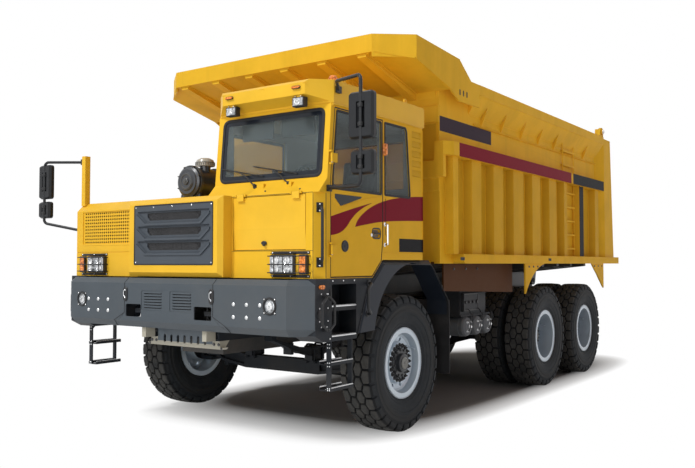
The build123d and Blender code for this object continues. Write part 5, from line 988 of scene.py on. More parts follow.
# Wipers: bent arms from two pivots on the cowl, with their blades low on the glass
COWL_OUT = Vector((0, -0.735, 0.678)).normalized()
bm = bmesh.new()
for pivot_x in (0.855, 1.25):
    pivot = Vector((pivot_x, -3.972, 2.377))
    blade_x = pivot_x - 0.20
    lathe(bm, [(-0.006, 0.024), (0.010, 0.022), (0.014, 0.016), (0.030, 0.014), (0.034, 0.010), (0.034, 0)],
          pivot, COWL_OUT, 18)
    knee = pivot + COWL_OUT * 0.028 + Vector((-0.05, 0.0, 0.035))
    arm = [pivot + COWL_OUT * 0.024, knee, screen_point(pivot_x - 0.12, 2.475, 0.034),
           screen_point(pivot_x - 0.22, 2.525, 0.026)]
    tube(bm, through(arm), 0.0062, 8)
    blade = [screen_point(blade_x + t * 0.26, 2.525 - t * 0.050, 0.0085) for t in (-1, -0.33, 0.33, 1)]
    tube(bm, through(blade, 5), 0.0052, 8)
    tube(bm, [screen_point(blade_x + t * 0.21, 2.525 - t * 0.040, 0.017) for t in (-1, 0, 1)], 0.0042, 6)
    for t in (-0.9, -0.3, 0.3, 0.9):
        cube(bm, screen_point(blade_x + t * 0.21, 2.525 - t * 0.040, 0.012), (0.007, 0.006, 0.007), 0.002, 1)
    lathe(bm, [(-0.004, 0.008), (0.006, 0.008), (0.009, 0.003), (0.009, 0)],
          (pivot_x + 0.16, -4.02, 2.3265), COWL_OUT, 10)
piece("wipers", bm, satin_black)

# Cab outside: seams, drip rail, hinge and handle fittings, service flap latch
bm = bmesh.new()
for low, high in (((1.6395, -3.9565, 1.556), (1.6422, -3.9515, 2.286)),
                  ((1.5755, -4.0562, 1.556), (1.5795, -4.0535, 2.286)),
                  ((0.312, -4.0562, 2.2875), (1.575, -4.0535, 2.2915)),
                  ((0.645, -4.0562, 1.7895), (1.575, -4.0535, 1.7925))):
    box(bm, low, high, 0.0006, 1)
door_seam = [(-3.887, 1.559), (-3.887, 2.421), (-3.823, 3.048), (-3.041, 3.048), (-3.041, 1.900),
             (-3.069, 1.704), (-3.228, 1.559)]
band(bm, [(CAB_SIDE + 0.0002, y, z) for y, z in door_seam], ACROSS,
     [(-0.0025, -0.004), (-0.0025, 0.001), (0.004, 0.001), (0.004, -0.004)])
for z in (1.95, 2.5):
    box(bm, (1.6395, -2.995, z), (1.6425, -2.991, z + 0.35), 0.0006, 1)
piece("cab_seams", bm, seal_rubber)

bm = bmesh.new()
tube(bm, through([(1.648, -3.87, 3.060), (1.652, -3.80, 3.0725), (1.652, -3.3, 3.0735), (1.652, -2.6, 3.0735),
                  (1.650, -2.30, 3.070)], 5), 0.008, 8)
for x in (0.50, 0.985, 1.47):
    box(bm, (x - 0.020, -4.0385, 3.245), (x + 0.020, -4.032, 3.252), 0.002, 1)
for y in (-3.42, -2.90, -2.48):
    box(bm, (1.628, y - 0.05, 3.281), (1.648, y + 0.05, 3.288))
piece("cab_drip_rail", bm, yellow)

bm = bmesh.new()
for z in (1.8, 2.6):
    for y in (-3.830, -3.822):
        domes(bm, ACROSS, 0.0065, [(1.6465, y, z - 0.024), (1.6465, y + 0.001, z + 0.024)])
    lathe(bm, [(-0.048, 0), (-0.048, 0.0085), (-0.044, 0.0095), (-0.042, 0.0095), (-0.042, 0)],
          (1.656, -3.888, z), UP, 12)
lathe(bm, [(-0.002, 0.016), (0.002, 0.016), (0.004, 0.013), (0.004, 0)], (1.641, -3.238, 1.945), ACROSS, 18)
piece("door_hinge_bolts", bm, zinc, "cab_door")

bm = bmesh.new()
lathe(bm, [(-0.003, 0.052), (0.004, 0.052), (0.009, 0.048), (0.010, 0.040), (0.006, 0.036), (0.006, 0.012),
           (0.010, 0.010), (0.011, 0)], (1.6405, -3.672, 1.834), ACROSS, 32)
handle = [(-3.222, 1.918), (-3.086, 1.918), (-3.086, 2.006), (-3.222, 2.006)]
band(bm, side_loop(CAB_SIDE + 0.0002, handle, 0.035, 5), ACROSS,
     [(-0.004, -0.002), (-0.004, 0.0025), (0.003, 0.004), (0.009, 0.0015), (0.009, -0.002)])
tube(bm, [(1.6385, -3.205, 1.962), (1.6435, -3.19, 1.962), (1.6435, -3.115, 1.962), (1.6385, -3.10, 1.962)],
     0.0085)
piece("door_handle_trim", bm, black, "cab_door")

lower_pane = [(-3.822, 2.252), (-3.735, 2.186), (-3.60, 2.222), (-3.42, 2.272), (-3.40, 2.288),
              (-3.822, 2.288)]
bm = bmesh.new()
slab(bm, [(1.6395, y, z) for y, z in lower_pane], ACROSS, 0.003, 0.001)
piece("door_lower_pane", bm, dark_glass, "cab_door")
bm = bmesh.new()
crease = [(-3.870, 2.268), (-3.752, 2.172), (-3.55, 2.222), (-3.40, 2.262), (-3.077, 2.312)]
tube(bm, filleted([(1.641, y, z) for y, z in crease], 0.04), 0.0042, 6)
piece("door_crease", bm, cab_yellow, "cab_door")

bm = bmesh.new()
pull = [(1.642, 2.052), (1.676, 2.052), (1.676, 1.858), (1.642, 1.858)]
tube(bm, filleted([(x, -3.012, z) for x, z in pull], 0.03), 0.009)
for z in (2.052, 1.858):
    lathe(bm, [(-0.002, 0.019), (0.004, 0.019), (0.006, 0.014), (0.006, 0)], (1.641, -3.012, z), ACROSS, 18)
piece("pillar_pull", bm, chrome)

bm = bmesh.new()
slab(bm, [(1.03 + 0.030 * math.cos(t), CAB_FACE, 1.862 + 0.019 * math.sin(t)) for t in turns(16)], AHEAD,
     0.012, 0.004)
box(bm, (1.022, -4.068, 1.835), (1.048, -4.058, 1.866))
piece("flap_latch", bm, satin_black, "cab_flap")

bm = bmesh.new()
domes(bm, ACROSS, 0.004, [(1.6405, y, 2.545 + n * 0.098) for n in range(5) for y in (-2.482, -2.320)])
domes(bm, UP, 0.009, [(x, y, 3.282) for x in (0.345, 0.985, 1.615) for y in (-3.2, -2.6)])
domes(bm, ACROSS, 0.0065, [(1.6405, y, 1.772) for y in (-3.0, -2.75, -2.5, -2.32)])
piece("cab_rivets", bm, yellow)

bm = bmesh.new()
for x in ROOF_LAMPS:
    domes(bm, AHEAD, 0.005, [(x - 0.030, -4.0405, 3.1335), (x + 0.030, -4.0405, 3.1335)])
    domes(bm, AHEAD, 0.004, [(x - 0.060, CAB_FACE, 3.215), (x + 0.020, CAB_FACE, 3.215)])
for z in (1.69, 2.16):
    domes(bm, (0.857, -0.514, 0), 0.0075, [(1.6175, -4.0095, z - 0.028), (1.6175, -4.0095, z + 0.028)])
piece("handle_bolts", bm, zinc)

bm = bmesh.new()
for x in (0.59, 1.38):
    slab(bm, [(x + u, CAB_FACE, 3.215 + v) for u, v in oval(20, 0.026, 0.010, 0.022)], AHEAD, 0.006, 0.003)
piece("visor_marker_lenses", bm, amber_lens)

# Mirrors: glass in the rear faces, rims, clamps and clamp bolts
MIRROR_Y, POLE_Y = -4.0782, -4.130
mirror_heads = [(1.990, 2.235, 2.690, 3.075, 2.117), (2.010, 2.235, 2.400, 2.600, 2.117),
                (-2.235, -2.030, 2.400, 2.780, -2.130), (-2.235, -2.040, 2.185, 2.370, -2.130)]
panes, rims, clamps = bmesh.new(), bmesh.new(), bmesh.new()
for low_x, high_x, low_z, high_z, pole_x in mirror_heads:
    loop = front_loop(MIRROR_Y, (low_x + 0.014, high_x - 0.014), (low_z + 0.014, high_z - 0.014), 0.04, 5)
    slab(panes, loop, BACK, 0.0015, 0.0005)
    band(rims, loop, BACK, [(-0.004, -0.001), (-0.004, 0.004), (0.004, 0.0055), (0.0115, 0.003),
                            (0.0125, -0.004)])
    for share in (0.30, 0.70):
        z = low_z + share * (high_z - low_z)
        lathe(clamps, [(-0.017, 0), (-0.017, 0.022), (-0.014, 0.025), (0.014, 0.025), (0.017, 0.022),
                       (0.017, 0)],
              (pole_x, POLE_Y, z), UP, 16)
        box(clamps, (pole_x - 0.010, POLE_Y, z - 0.014), (pole_x + 0.010, -4.098, z + 0.014))
        domes(clamps, AHEAD, 0.006, [(pole_x - 0.012, -4.153, z), (pole_x + 0.012, -4.153, z)])
piece("mirror_panes", panes, mirror_glass)
piece("mirror_rims", rims, seal_rubber)
piece("mirror_clamps", clamps, satin_black)

# Air cleaner: end cover ring and clips, clamp bands and their bolts
CLEANER_X, CLEANER_Z = -0.260, 2.514
bm = bmesh.new()
lathe(bm, [(0, 0.034), (-0.010, 0.034), (-0.014, 0.028), (-0.014, 0.012), (-0.018, 0.010), (-0.018, 0)],
      (CLEANER_X, -3.7695, CLEANER_Z), BACK)
lathe(bm, [(-0.003, 0.066), (-0.007, 0.070), (-0.007, 0.078), (-0.003, 0.082)],
      (CLEANER_X, -3.7680, CLEANER_Z), BACK, 36, True)
for turn in turns(8, math.pi / 8):
    radial = Vector((math.cos(turn), 0, math.sin(turn)))
    spot = Vector((CLEANER_X, -3.722, CLEANER_Z)) + radial * 0.153
    clip = ((0.004, -0.022), (0.013, 0), (0.012, 0.028))
    tube(bm, [spot + radial * rise + Vector((0, back, 0)) for rise, back in clip], 0.006, 6)
for y in (-3.70, -3.36):
    hex_bolt(bm, (CLEANER_X - 0.166, y, CLEANER_Z + 0.02), (-1, 0, 0), 0.010)
    lathe(bm, [(-0.019, 0.1655), (-0.019, 0.169), (-0.012, 0.170), (0.012, 0.170), (0.019, 0.169),
               (0.019, 0.1655)],
          (CLEANER_X, y, CLEANER_Z), BACK, 48, True)
hose_clamp = [(-0.012, 0.068), (-0.012, 0.073), (0.012, 0.073), (0.012, 0.068)]
lathe(bm, hose_clamp, (CLEANER_X, -3.235, CLEANER_Z), BACK, 30, True)
lathe(bm, hose_clamp, (CLEANER_X - 0.42, -3.010, 2.385), UP, 30, True)
piece("cleaner_clips", bm, cleaner_trim)

bm = bmesh.new()
for turn in turns(26):
    x, y = -0.200 + 0.0985 * math.cos(turn), -3.560 + 0.0985 * math.sin(turn)
    tube(bm, [(x, y, 2.690), (x, y, 2.716)], 0.0035, 6)
lathe(bm, [(0, 0.101), (0.004, 0.102), (0.006, 0.099), (0.002, 0.098)], (-0.200, -3.560, 2.718), UP, 40, True)
piece("rain_cap_screen", bm, cleaner_trim)

# Steps: bright tread edges with teeth, ladder bolts, and the small fittings of the housings
HOUSING_SIDE = 1.6455


def teeth(bm, x, ys, half_x, half_y, low_z, high_z):
    """Pointed teeth along a tread's edge."""
    for y in ys:
        skin(bm, [[(x + dx, y - half_y, low_z), (x + dx, y + half_y, low_z), (x + dx, y, high_z)]
                  for dx in (-half_x, half_x)])


bm = bmesh.new()
for side in BOTH:
    for z in (0.596, 0.816):
        for x in (1.518, 1.642):
            tube(bm, [(side * x, -3.876, z + 0.0155), (side * x, -3.552, z + 0.0155)], 0.0042, 6)
            teeth(bm, side * x, row(-3.868, -3.560, 26), 0.0022, 0.004, z + 0.013, z + 0.024)
        for x in (1.558, 1.602):
            for y in row(-3.834, -3.594, 5):
                lathe(bm, [(-0.008, 0.0122), (-0.0055, 0.0165), (-0.0065, 0.017), (-0.0095, 0.0125)],
                      (side * x, y, z), UP, 14, True)
    for z in (1.050, 1.308):
        tube(bm, [(side * 1.640, -3.872, z + 0.002), (side * 1.640, -3.502, z + 0.002)], 0.0065, 8)
        teeth(bm, side * 1.640, row(-3.862, -3.512, 24), 0.0025, 0.005, z + 0.005, z + 0.016)
piece("tread_edges", bm, zinc)

bm = bmesh.new()
for side in BOTH:
    for y, out in ((-3.8805, AHEAD), (-3.548, BACK)):
        domes(bm, out, 0.006, [(side * x, y, z) for z in (0.985, 0.955, 0.825, 0.795, 0.605, 0.590)
                               for x in (1.605, 1.625)])
    domes(bm, (side, 0, 0), 0.0075, [(side * HOUSING_SIDE, y, z) for y, z in (
        (-3.93, 1.19), (-3.93, 1.30), (-4.05, 1.30), (-4.05, 1.19), (-3.93, 1.42), (-3.90, 1.035),
        (-3.53, 1.53), (-3.70, 1.53), (-3.86, 1.53))])
    domes(bm, (side, 0, 0), 0.006, [(side * HOUSING_SIDE, y, z) for y in (-4.025, -3.945)
                                    for z in (1.421, 1.141)])
piece("step_bolts", bm, zinc)

bm = bmesh.new()
for side in BOTH:
    lathe(bm, [(-0.002, 0.040), (0.006, 0.040), (0.010, 0.034), (0.010, 0)],
          (side * HOUSING_SIDE, -4.045, 1.245), (side, 0, 0), 26)
    box(bm, (side * HOUSING_SIDE, -3.90, 1.360), (side * 1.652, -3.888, 1.46), 0.002)
    box(bm, (side * 1.46, -3.86, 1.052), (side * 1.632, -3.51, 1.056), 0.001, 1)
    for x in row(1.475, 1.62, 5):
        for low_z, high_z in ((1.054, 1.064), (1.307, 1.316)):
            box(bm, (side * x - 0.003, -3.868, low_z), (side * x + 0.003, -3.507, high_z), 0.001, 1)
piece("step_fittings", bm, satin_black)

# Grab loops on the front legs of the fenders
bm = bmesh.new()
for side in BOTH:
    loop = [(1.648, -3.300, 1.500), (1.680, -3.303, 1.500), (1.704, -3.335, 1.492), (1.712, -3.400, 1.455),
            (1.712, -3.400, 1.265), (1.704, -3.345, 1.228), (1.680, -3.325, 1.220), (1.648, -3.322, 1.220)]
    tube(bm, filleted([(side * x, y, z) for x, y, z in loop], 0.02, 3), 0.0135, 12)
    for _, y, z in (loop[0], loop[-1]):
        lathe(bm, [(-0.002, 0.030), (0.005, 0.030), (0.009, 0.025), (0.009, 0)], (side * 1.650, y, z),
              (side, 0, 0), 20)
piece("fender_grab_loops", bm, satin_black)

# Fender edge trim along the bevel, its bolts, and the flap clamp bolts
bm = bmesh.new()
fender_line = [(-3.482, 1.052), (-3.311, 1.466), (-3.040, 1.671), (-2.111, 1.671), (-1.722, 1.272),
               (-1.722, 1.135)]
for side in BOTH:
    tube(bm, filleted([(side * 1.6500, y, z) for y, z in fender_line], 0.06, 5), 0.0045, 6)
piece("fender_trim", bm, seal_rubber)
bm = bmesh.new()
for side in BOTH:
    domes(bm, UP, 0.010, [(side * 1.58, y, 1.7147) for y in (-2.95, -2.60, -2.25)])
    hexes(bm, BACK, 0.011, [(side * x, -1.692, 1.205) for x in row(1.29, 1.61, 5)])
    domes(bm, (side, 0, 0), 0.008, [(side * 1.634, y, z)
                                    for y, z in ((-3.40, 1.22), (-3.33, 1.39), (-1.85, 1.44))])
piece("fender_bolts", bm, dark_steel)

# Fuel tank: ribbed cap, strap bolts, sight glass and drain
TANK_FRONT, TANK_LENGTH = -1.488, 1.363
cap = Vector((-1.280, TANK_FRONT + 0.130, 1.3285))
bm = bmesh.new()
for turn in turns(18):
    spot = cap + Vector((math.cos(turn), math.sin(turn), 0)) * 0.046
    tube(bm, [spot, spot + Vector((0, 0, 0.012))], 0.006, 6)
lathe(bm, [(0, 0.045), (0.013, 0.045), (0.017, 0.038), (0.017, 0)], cap, UP, 30)
for share in (0.12, 0.46, 0.88):
    y = TANK_FRONT + share * TANK_LENGTH
    hex_bolt(bm, (-1.15, y, 1.299), UP, 0.013)
    hex_bolt(bm, (-1.4375, y, 1.14), (-1, 0, 0), 0.012)
    box(bm, (-1.4385, y - 0.02, 1.10), (-1.4355, y + 0.02, 1.18), 0.001, 1)
lathe(bm, [(-0.004, 0.020), (0.010, 0.020), (0.014, 0.015), (0.014, 0)], (-1.15, -0.50, 0.7305), DOWN, 6)
piece("fuel_tank_fittings", bm, dark_steel)

# Air tanks: end fittings, strap bolts, the valve box's door, and clipped steel lines
DRUMS = [-0.8182 + n * 0.2780 for n in range(3)]
RAIL_X = 0.489
bm, lines = bmesh.new(), bmesh.new()
for y in DRUMS:
    lathe(bm, [(-0.003, 0.024), (0.010, 0.024), (0.014, 0.018), (0.030, 0.016), (0.032, 0)],
          (1.449, y, 0.932), ACROSS, 6)
    for turn in (0.9, 2.3, 4.0):
        lathe(bm, [(-0.006, 0.014), (0.010, 0.014), (0.014, 0.010), (0.022, 0.009), (0.022, 0)],
              (1.436, y + 0.070 * math.cos(turn), 0.932 + 0.070 * math.sin(turn)), ACROSS, 6)
    for x in (1.010, 1.340):
        hex_bolt(bm, (x, y, 1.0505), UP, 0.010)
        hex_bolt(bm, (x, y + 0.1235, 0.945), BACK, 0.009)
    lathe(bm, [(0, 0.012), (0.020, 0.012), (0.024, 0.007), (0.034, 0.006), (0.034, 0)], (1.19, y, 0.8165),
          DOWN, 8)
    tube(lines, through([(1.462, y + 0.045, 0.985), (1.476, y + 0.050, 1.02), (1.462, y + 0.056, 1.07),
                         (1.424, y + 0.060, 1.10)]), 0.006, 8)
    tube(lines, through([(1.458, y - 0.045, 0.885), (1.478, y - 0.05, 0.90), (1.480, y - 0.02, 1.0),
                         (1.470, y, 1.09), (1.424, y + 0.02, 1.14)]), 0.005, 8)
piece("air_tank_fittings", bm, zinc)
for z, y_end in ((1.262, -0.25), (1.232, 0.35), (1.202, 0.35), (1.172, -0.12)):
    tube(lines, [(RAIL_X, -2.10, z), (RAIL_X, y_end, z)], 0.006, 8)
    tube(lines, [(-RAIL_X, -2.10, z), (-RAIL_X, 0.9, z)], 0.006, 8)
piece("air_lines", lines, black)

bm = bmesh.new()
door = [(-0.900, 1.120), (-0.520, 1.120), (-0.520, 1.320), (-0.900, 1.320)]
band(bm, side_loop(1.4205, door, 0.02, 3), ACROSS,
     [(-0.010, -0.002), (-0.010, 0.002), (-0.006, 0.004), (0.002, 0.004), (0.004, -0.002)])
for z in (1.16, 1.28):
    lathe(bm, [(-0.024, 0), (-0.024, 0.007), (0.024, 0.007), (0.024, 0)], (1.424, -0.906, z), UP, 10)
box(bm, (1.420, -0.56, 1.195), (1.432, -0.535, 1.245))
for y in row(-0.86, -0.56, 4):
    lathe(bm, [(-0.002, 0.018), (0.012, 0.018), (0.016, 0.013), (0.016, 0)], (1.4205, y, 1.22), ACROSS, 14)
for y in (-0.42, -0.355):
    lathe(bm, [(0, 0.036), (0.012, 0.038), (0.022, 0.036), (0.030, 0.020), (0.048, 0.018), (0.048, 0)],
          (1.230, y, 1.168), UP, 18)
piece("valve_box_fittings", bm, satin_black)

# Leaf springs: leaf edges, clamps and U-bolts
BOGIE_Y, BOGIE_Z = (MID_AXLE + REAR_AXLE) / 2, 0.900


def u_bolt(bm, side, y, x, z, radius):
    """U-bolt over a spring; x and z are its spans."""
    path = ((x[0], z[0]), (x[0], z[1]), (x[1], z[1]), (x[1], z[0]))
    tube(bm, filleted([(side * px, y, pz) for px, pz in path], 0.03), radius)


bm = bmesh.new()
for side in BOTH:
    for k, drop in enumerate((0.016, 0.033, 0.050, 0.067)):
        for face_x in (0.3835, 0.4765):
            points = []
            for off in [(0.70 - 0.10 * k) * t for t in row(-1, 1, 13)]:
                top = 0.770 + 0.030 * min(1, abs(off) / 0.30) + max(0, abs(off) - 0.30) * 0.283
                points.append((side * face_x, FRONT_AXLE + off, top - drop))
            tube(bm, points, 0.0035, 5)
    for y in (FRONT_AXLE - 0.075, FRONT_AXLE + 0.075):
        u_bolt(bm, side, y, (0.374, 0.486), (0.61, 0.812), 0.011)
        hexes(bm, DOWN, 0.020, [(side * x, y, 0.625) for x in (0.374, 0.486)])
    box(bm, (side * 0.365, FRONT_AXLE - 0.105, 0.768), (side * 0.495, FRONT_AXLE + 0.105, 0.795), 0.006)
    for y in (FRONT_AXLE - 0.45, FRONT_AXLE + 0.45):
        box(bm, (side * 0.376, y - 0.022, 0.735), (side * 0.484, y + 0.022, 0.856), 0.005)
    for y in (MID_AXLE - 0.075, MID_AXLE + 0.075, REAR_AXLE - 0.075, REAR_AXLE + 0.075):
        u_bolt(bm, side, y, (0.532, 0.663), (0.66, 0.90), 0.013)
    lathe(bm, [(-0.002, 0.060), (0.020, 0.060), (0.026, 0.052), (0.026, 0)], (side * 0.700, BOGIE_Y, BOGIE_Z),
          (side, 0, 0))
    hexes(bm, (side, 0, 0), 0.009, around((BOGIE_Y, BOGIE_Z), 0.044, 6, side * 0.722))
piece("spring_clamps", bm, chassis)

# Bolts of the front guard, and the rails' bolts
bm = bmesh.new()
for side in BOTH:
    hexes(bm, AHEAD, 0.012, [(side * x, -4.0245, z) for x in (0.395, 0.455)
                             for z in (0.925, 1.02, 1.16, 1.25)])
    hex_bolt(bm, (side * 0.49, -4.0245, 0.89), AHEAD, 0.010)
piece("guard_bolts", bm, dark_steel)

bm = bmesh.new()
for side in BOTH:
    hexes(bm, (side, 0, 0), 0.013, [(side * 0.4805, y, z) for y in row(-1.95, 3.35, 22)
                                    for z in (1.255, 1.005)])
    hexes(bm, (side, 0, 0), 0.013, [(side * 0.4805, y, 1.255) for y in row(-3.95, -3.1, 5)])
piece("rail_bolts", bm, chassis)

# Bed: brackets under the overhang, weld beads, canopy slots, and bolts of the gate ears
BED_FRONT, BED_LENGTH, BED_REAR = -1.830, 5.962, 3.50


def bed_at(share):
    """Y at a share of the bed's side, from its front wall."""
    return BED_FRONT + share * BED_LENGTH


rib_spans = [(0.0989, 0.1393), (0.1973, 0.2432), (0.2964, 0.3498), (0.4003, 0.4473), (0.5038, 0.5486),
             (0.6020, 0.6227), (0.7147, 0.7445), (0.8384, 0.8665)]
bm = bmesh.new()
for side in BOTH:
    for y in map(bed_at, (0.175, 0.27, 0.375, 0.475, 0.575, 0.79)):
        bracket = ((1.599, 3.305), (1.612, 3.305), (1.690, 3.520), (1.599, 3.398))
        skin(bm, [[(side * x, y + dy, z) for x, z in bracket] for dy in (-0.006, 0.006)])
    for z in (3.612, 3.722):
        tube(bm, [(side * 1.744, -1.12, z), (side * 1.744, BED_REAR, z)], 0.006, 6)
    for start, end in [(bed_at(front), bed_at(rear)) for front, rear in rib_spans]:
        for y in (start - 0.026, end + 0.026):
            tube(bm, [(side * 1.6005, y, 1.786), (side * 1.6005, y, 2.849)], 0.0045, 5)
        for z in (2.8495, 1.7855):
            tube(bm, [(side * 1.699, start, z), (side * 1.699, end, z)], 0.0045, 5)
    for y, z in ((-1.70, 3.0005), (-1.10, 3.4005)):
        tube(bm, [(side * 1.6005, y, z), (side * 1.6005, BED_REAR, z)], 0.005, 5)
for z in (2.474, 2.600, 2.800, 3.206, 3.400):
    tube(bm, [(-1.56, -1.8305, z), (1.56, -1.8305, z)], 0.006, 5)
for n in range(6):
    x = (n - 2.5) * 0.29 * 1.746
    for edge_x in (x - 0.075, x + 0.075):
        tube(bm, [(edge_x, -2.832, 3.7805), (edge_x, -1.845, 3.545)], 0.0045, 5)
piece("bed_brackets_and_welds", bm, bed_yellow, "bed")

bm = bmesh.new()
for side in BOTH:
    for y in (-1.62, -1.535, -1.45):
        slab(bm, [(side * 1.7462, y + u, 3.555 + v) for u, v in oval(16, 0.013, 0.013, 0, 0.020)],
             (side, 0, 0), 0.0015, 0.0005)
    for y in (-1.58, 1.05):
        box(bm, (side * 1.7455, y - 0.05, 1.715), (side * 1.7485, y + 0.05, 1.750), 0.001, 1)
piece("bed_side_slots", bm, seal_rubber, "bed")

GATE_PIN = (3.906, 3.880)
bm = bmesh.new()
for side in BOTH:
    hex_bolt(bm, (side * 1.616, *GATE_PIN), (side, 0, 0), 0.026)
    domes(bm, (side, 0, 0), 0.0065, around(GATE_PIN, 0.036, 4, side * 1.616, 0.7))
    domes(bm, (side, 0, 0), 0.012, [(side * 1.6005, y, z)
                                    for y, z in ((3.80, 3.78), (3.86, 3.765), (3.94, 3.765))])
piece("gate_pin_bolts", bm, zinc, "bed")

# Ladder rails on the bed's side, above and below the beam
bm = bmesh.new()
for side in BOTH:
    for low_z, high_z in ((3.02, 3.53), (1.80, 2.85)):
        for y in (1.915, 2.385):
            tube(bm, [(side * 1.626, y, low_z), (side * 1.626, y, high_z)], 0.008, 8)
piece("ladder_rails", bm, bed_yellow, "bed")

# Wear plates on the bed's floor, held with plug welds
bm = bmesh.new()
for y in [-1.72 + n * 0.96 for n in range(6)]:
    for x in (-1.02, 0.0, 1.02):
        box(bm, (x - 0.495, y, 1.7395), (x + 0.495, y + 0.94, 1.7480), 0.003, 1)
        for dx in (-0.40, 0, 0.40):
            for dy in (0.10, 0.47, 0.84):
                lathe(bm, [(-0.002, 0.020), (0.0015, 0.019), (0.002, 0.012), (0.002, 0)],
                      (x + dx, y + dy, 1.748), UP, 10)
piece("floor_wear_plates", bm, worn_steel, "bed")

# Rear: lamp clusters on the frame's end, and the skirts' bolts
bm = bmesh.new()
for side in BOTH:
    box(bm, (side * 0.50, 3.560, 1.175), (side * 0.90, 3.596, 1.30), 0.008, 3)
    box(bm, (side * 0.482, 3.50, 1.16), (side * 0.60, 3.58, 1.19), 0.004)
piece("rear_lamp_cases", bm, satin_black)
red, amber = bmesh.new(), bmesh.new()
for side in BOTH:
    for x, target in ((0.565, red), (0.700, red), (0.835, amber)):
        lathe(target, [(-0.002, 0.050), (0.008, 0.050), (0.016, 0.044), (0.020, 0.030), (0.022, 0)],
              (side * x, 3.5955, 1.2375), BACK, 28)
piece("rear_red_lenses", red, red_lens)
piece("rear_amber_lenses", amber, amber_lens)

bm = bmesh.new()
for side in BOTH:
    for x, start, end, z, size in ((1.5205, -1.35, -0.75, 1.62, 0.012), (1.7005, 0.42, 0.72, 1.64, 0.011),
                                   (1.7005, 3.10, 3.48, 1.64, 0.011)):
        hexes(bm, (side, 0, 0), size, [(side * x, y, z) for y in row(start, end, 3)])
piece("skirt_bolts", bm, dark_steel, "bed")

# Driver's seat: cloth cushion and back filled by simulation, on a bellows base
SEAT_X = 1.05


def rounded_solid(name, profile, half_width):
    """Closed block from a (y, z) profile across the seat."""
    bm = bmesh.new()
    loop = side_loop(0, profile, 0.05)
    skin(bm, [[Vector((SEAT_X + half_width * t, p.y, p.z)) for p in loop] for t in row(-1, 1, 9)])
    bmesh.ops.recalc_face_normals(bm, faces=bm.faces)
    mesh = bpy.data.meshes.new(name)
    bm.to_mesh(mesh)
    bm.free()
    obj = bpy.data.objects.new(name, mesh)
    bpy.context.scene.collection.objects.link(obj)
    return obj


def modified(obj):
    """Copy of the object's mesh with its modifiers applied, which are then removed."""
    depsgraph = bpy.context.evaluated_depsgraph_get()
    made = bpy.data.meshes.new_from_object(obj.evaluated_get(depsgraph))
    obj.modifiers.clear()
    return made


def puffed(obj, voxel, cap):
    """Fills a soft form by cloth pressure, with the farthest that a point may move."""
    remesh = obj.modifiers.new("remesh", "REMESH")
    remesh.mode = "VOXEL"
    remesh.voxel_size = voxel
    obj.data = modified(obj)
    start = [v.co.copy() for v in obj.data.vertices]
    soft = obj.modifiers.new("cloth", "CLOTH")
    soft.settings.use_pressure = True
    soft.settings.uniform_pressure_force = 4.0
    soft.settings.quality = 5
    soft.settings.tension_stiffness = 12
    soft.settings.compression_stiffness = 12
    soft.settings.bending_stiffness = 0.6
    soft.settings.effector_weights.gravity = 0
    soft.collision_settings.use_collision = False
    for number in range(1, 21):
        bpy.context.scene.frame_set(number)
    swollen = modified(obj)
    for vertex, rest, moved in zip(obj.data.vertices, start, swollen.vertices):
        step = moved.co - rest
        if step.length > cap:
            step = step.normalized() * cap
        vertex.co = rest + step
    bpy.context.scene.frame_set(1)


def channelled(obj, along, spots, depth, picked):
    """Presses sewn channels into the part of a pad that picked chooses."""
    for vertex in obj.data.vertices:
        if picked(vertex.co):
            near = max(math.exp(-((vertex.co[along] - spot) / 0.010) ** 2) for spot in spots)
            vertex.co += vertex.normal * (-depth * near)


def on_cushion(p):
    """Whether a point lies on the cushion's top."""
    return p.z > 2.07


def on_backrest(p):
    """Whether a point lies on the backrest's front."""
    return p.y < -2.50 + (p.z - 2.4) * 0.2


seat_profile = [(-3.045, 2.028), (-3.048, 2.086), (-3.018, 2.118), (-2.640, 2.098), (-2.590, 2.030)]
back_profile = [(-2.660, 2.145), (-2.575, 2.130), (-2.452, 2.730), (-2.480, 2.765), (-2.520, 2.765),
                (-2.552, 2.730)]
for name, profile, half_width, cap, on_face, long_off, long_depth, cross_axis, cross_spots, cross_half in (
        ("seat_cushion", seat_profile, 0.225, 0.022, on_cushion, 0.15, 0.011, 1, (-2.90, -2.77), 0.14),
        ("seat_backrest", back_profile, 0.215, 0.016, on_backrest, 0.14, 0.010, 2, (2.30, 2.45, 2.60), 0.13)):
    pad = rounded_solid(name, profile, half_width)
    puffed(pad, 0.009, cap)
    channelled(pad, 0, (SEAT_X - long_off, SEAT_X + long_off), long_depth, on_face)
    channelled(pad, cross_axis, cross_spots, 0.007, lambda p: on_face(p) and abs(p.x - SEAT_X) < cross_half)
    smooth = pad.modifiers.new("round", "SUBSURF")
    smooth.levels = smooth.render_levels = 1
    pad.data = modified(pad)
    for polygon in pad.data.polygons:
        polygon.use_smooth = True
    pad.data.materials.clear()
    pad.data.materials.append(fabric)
    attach(pad, "chassis")
    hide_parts("seat")

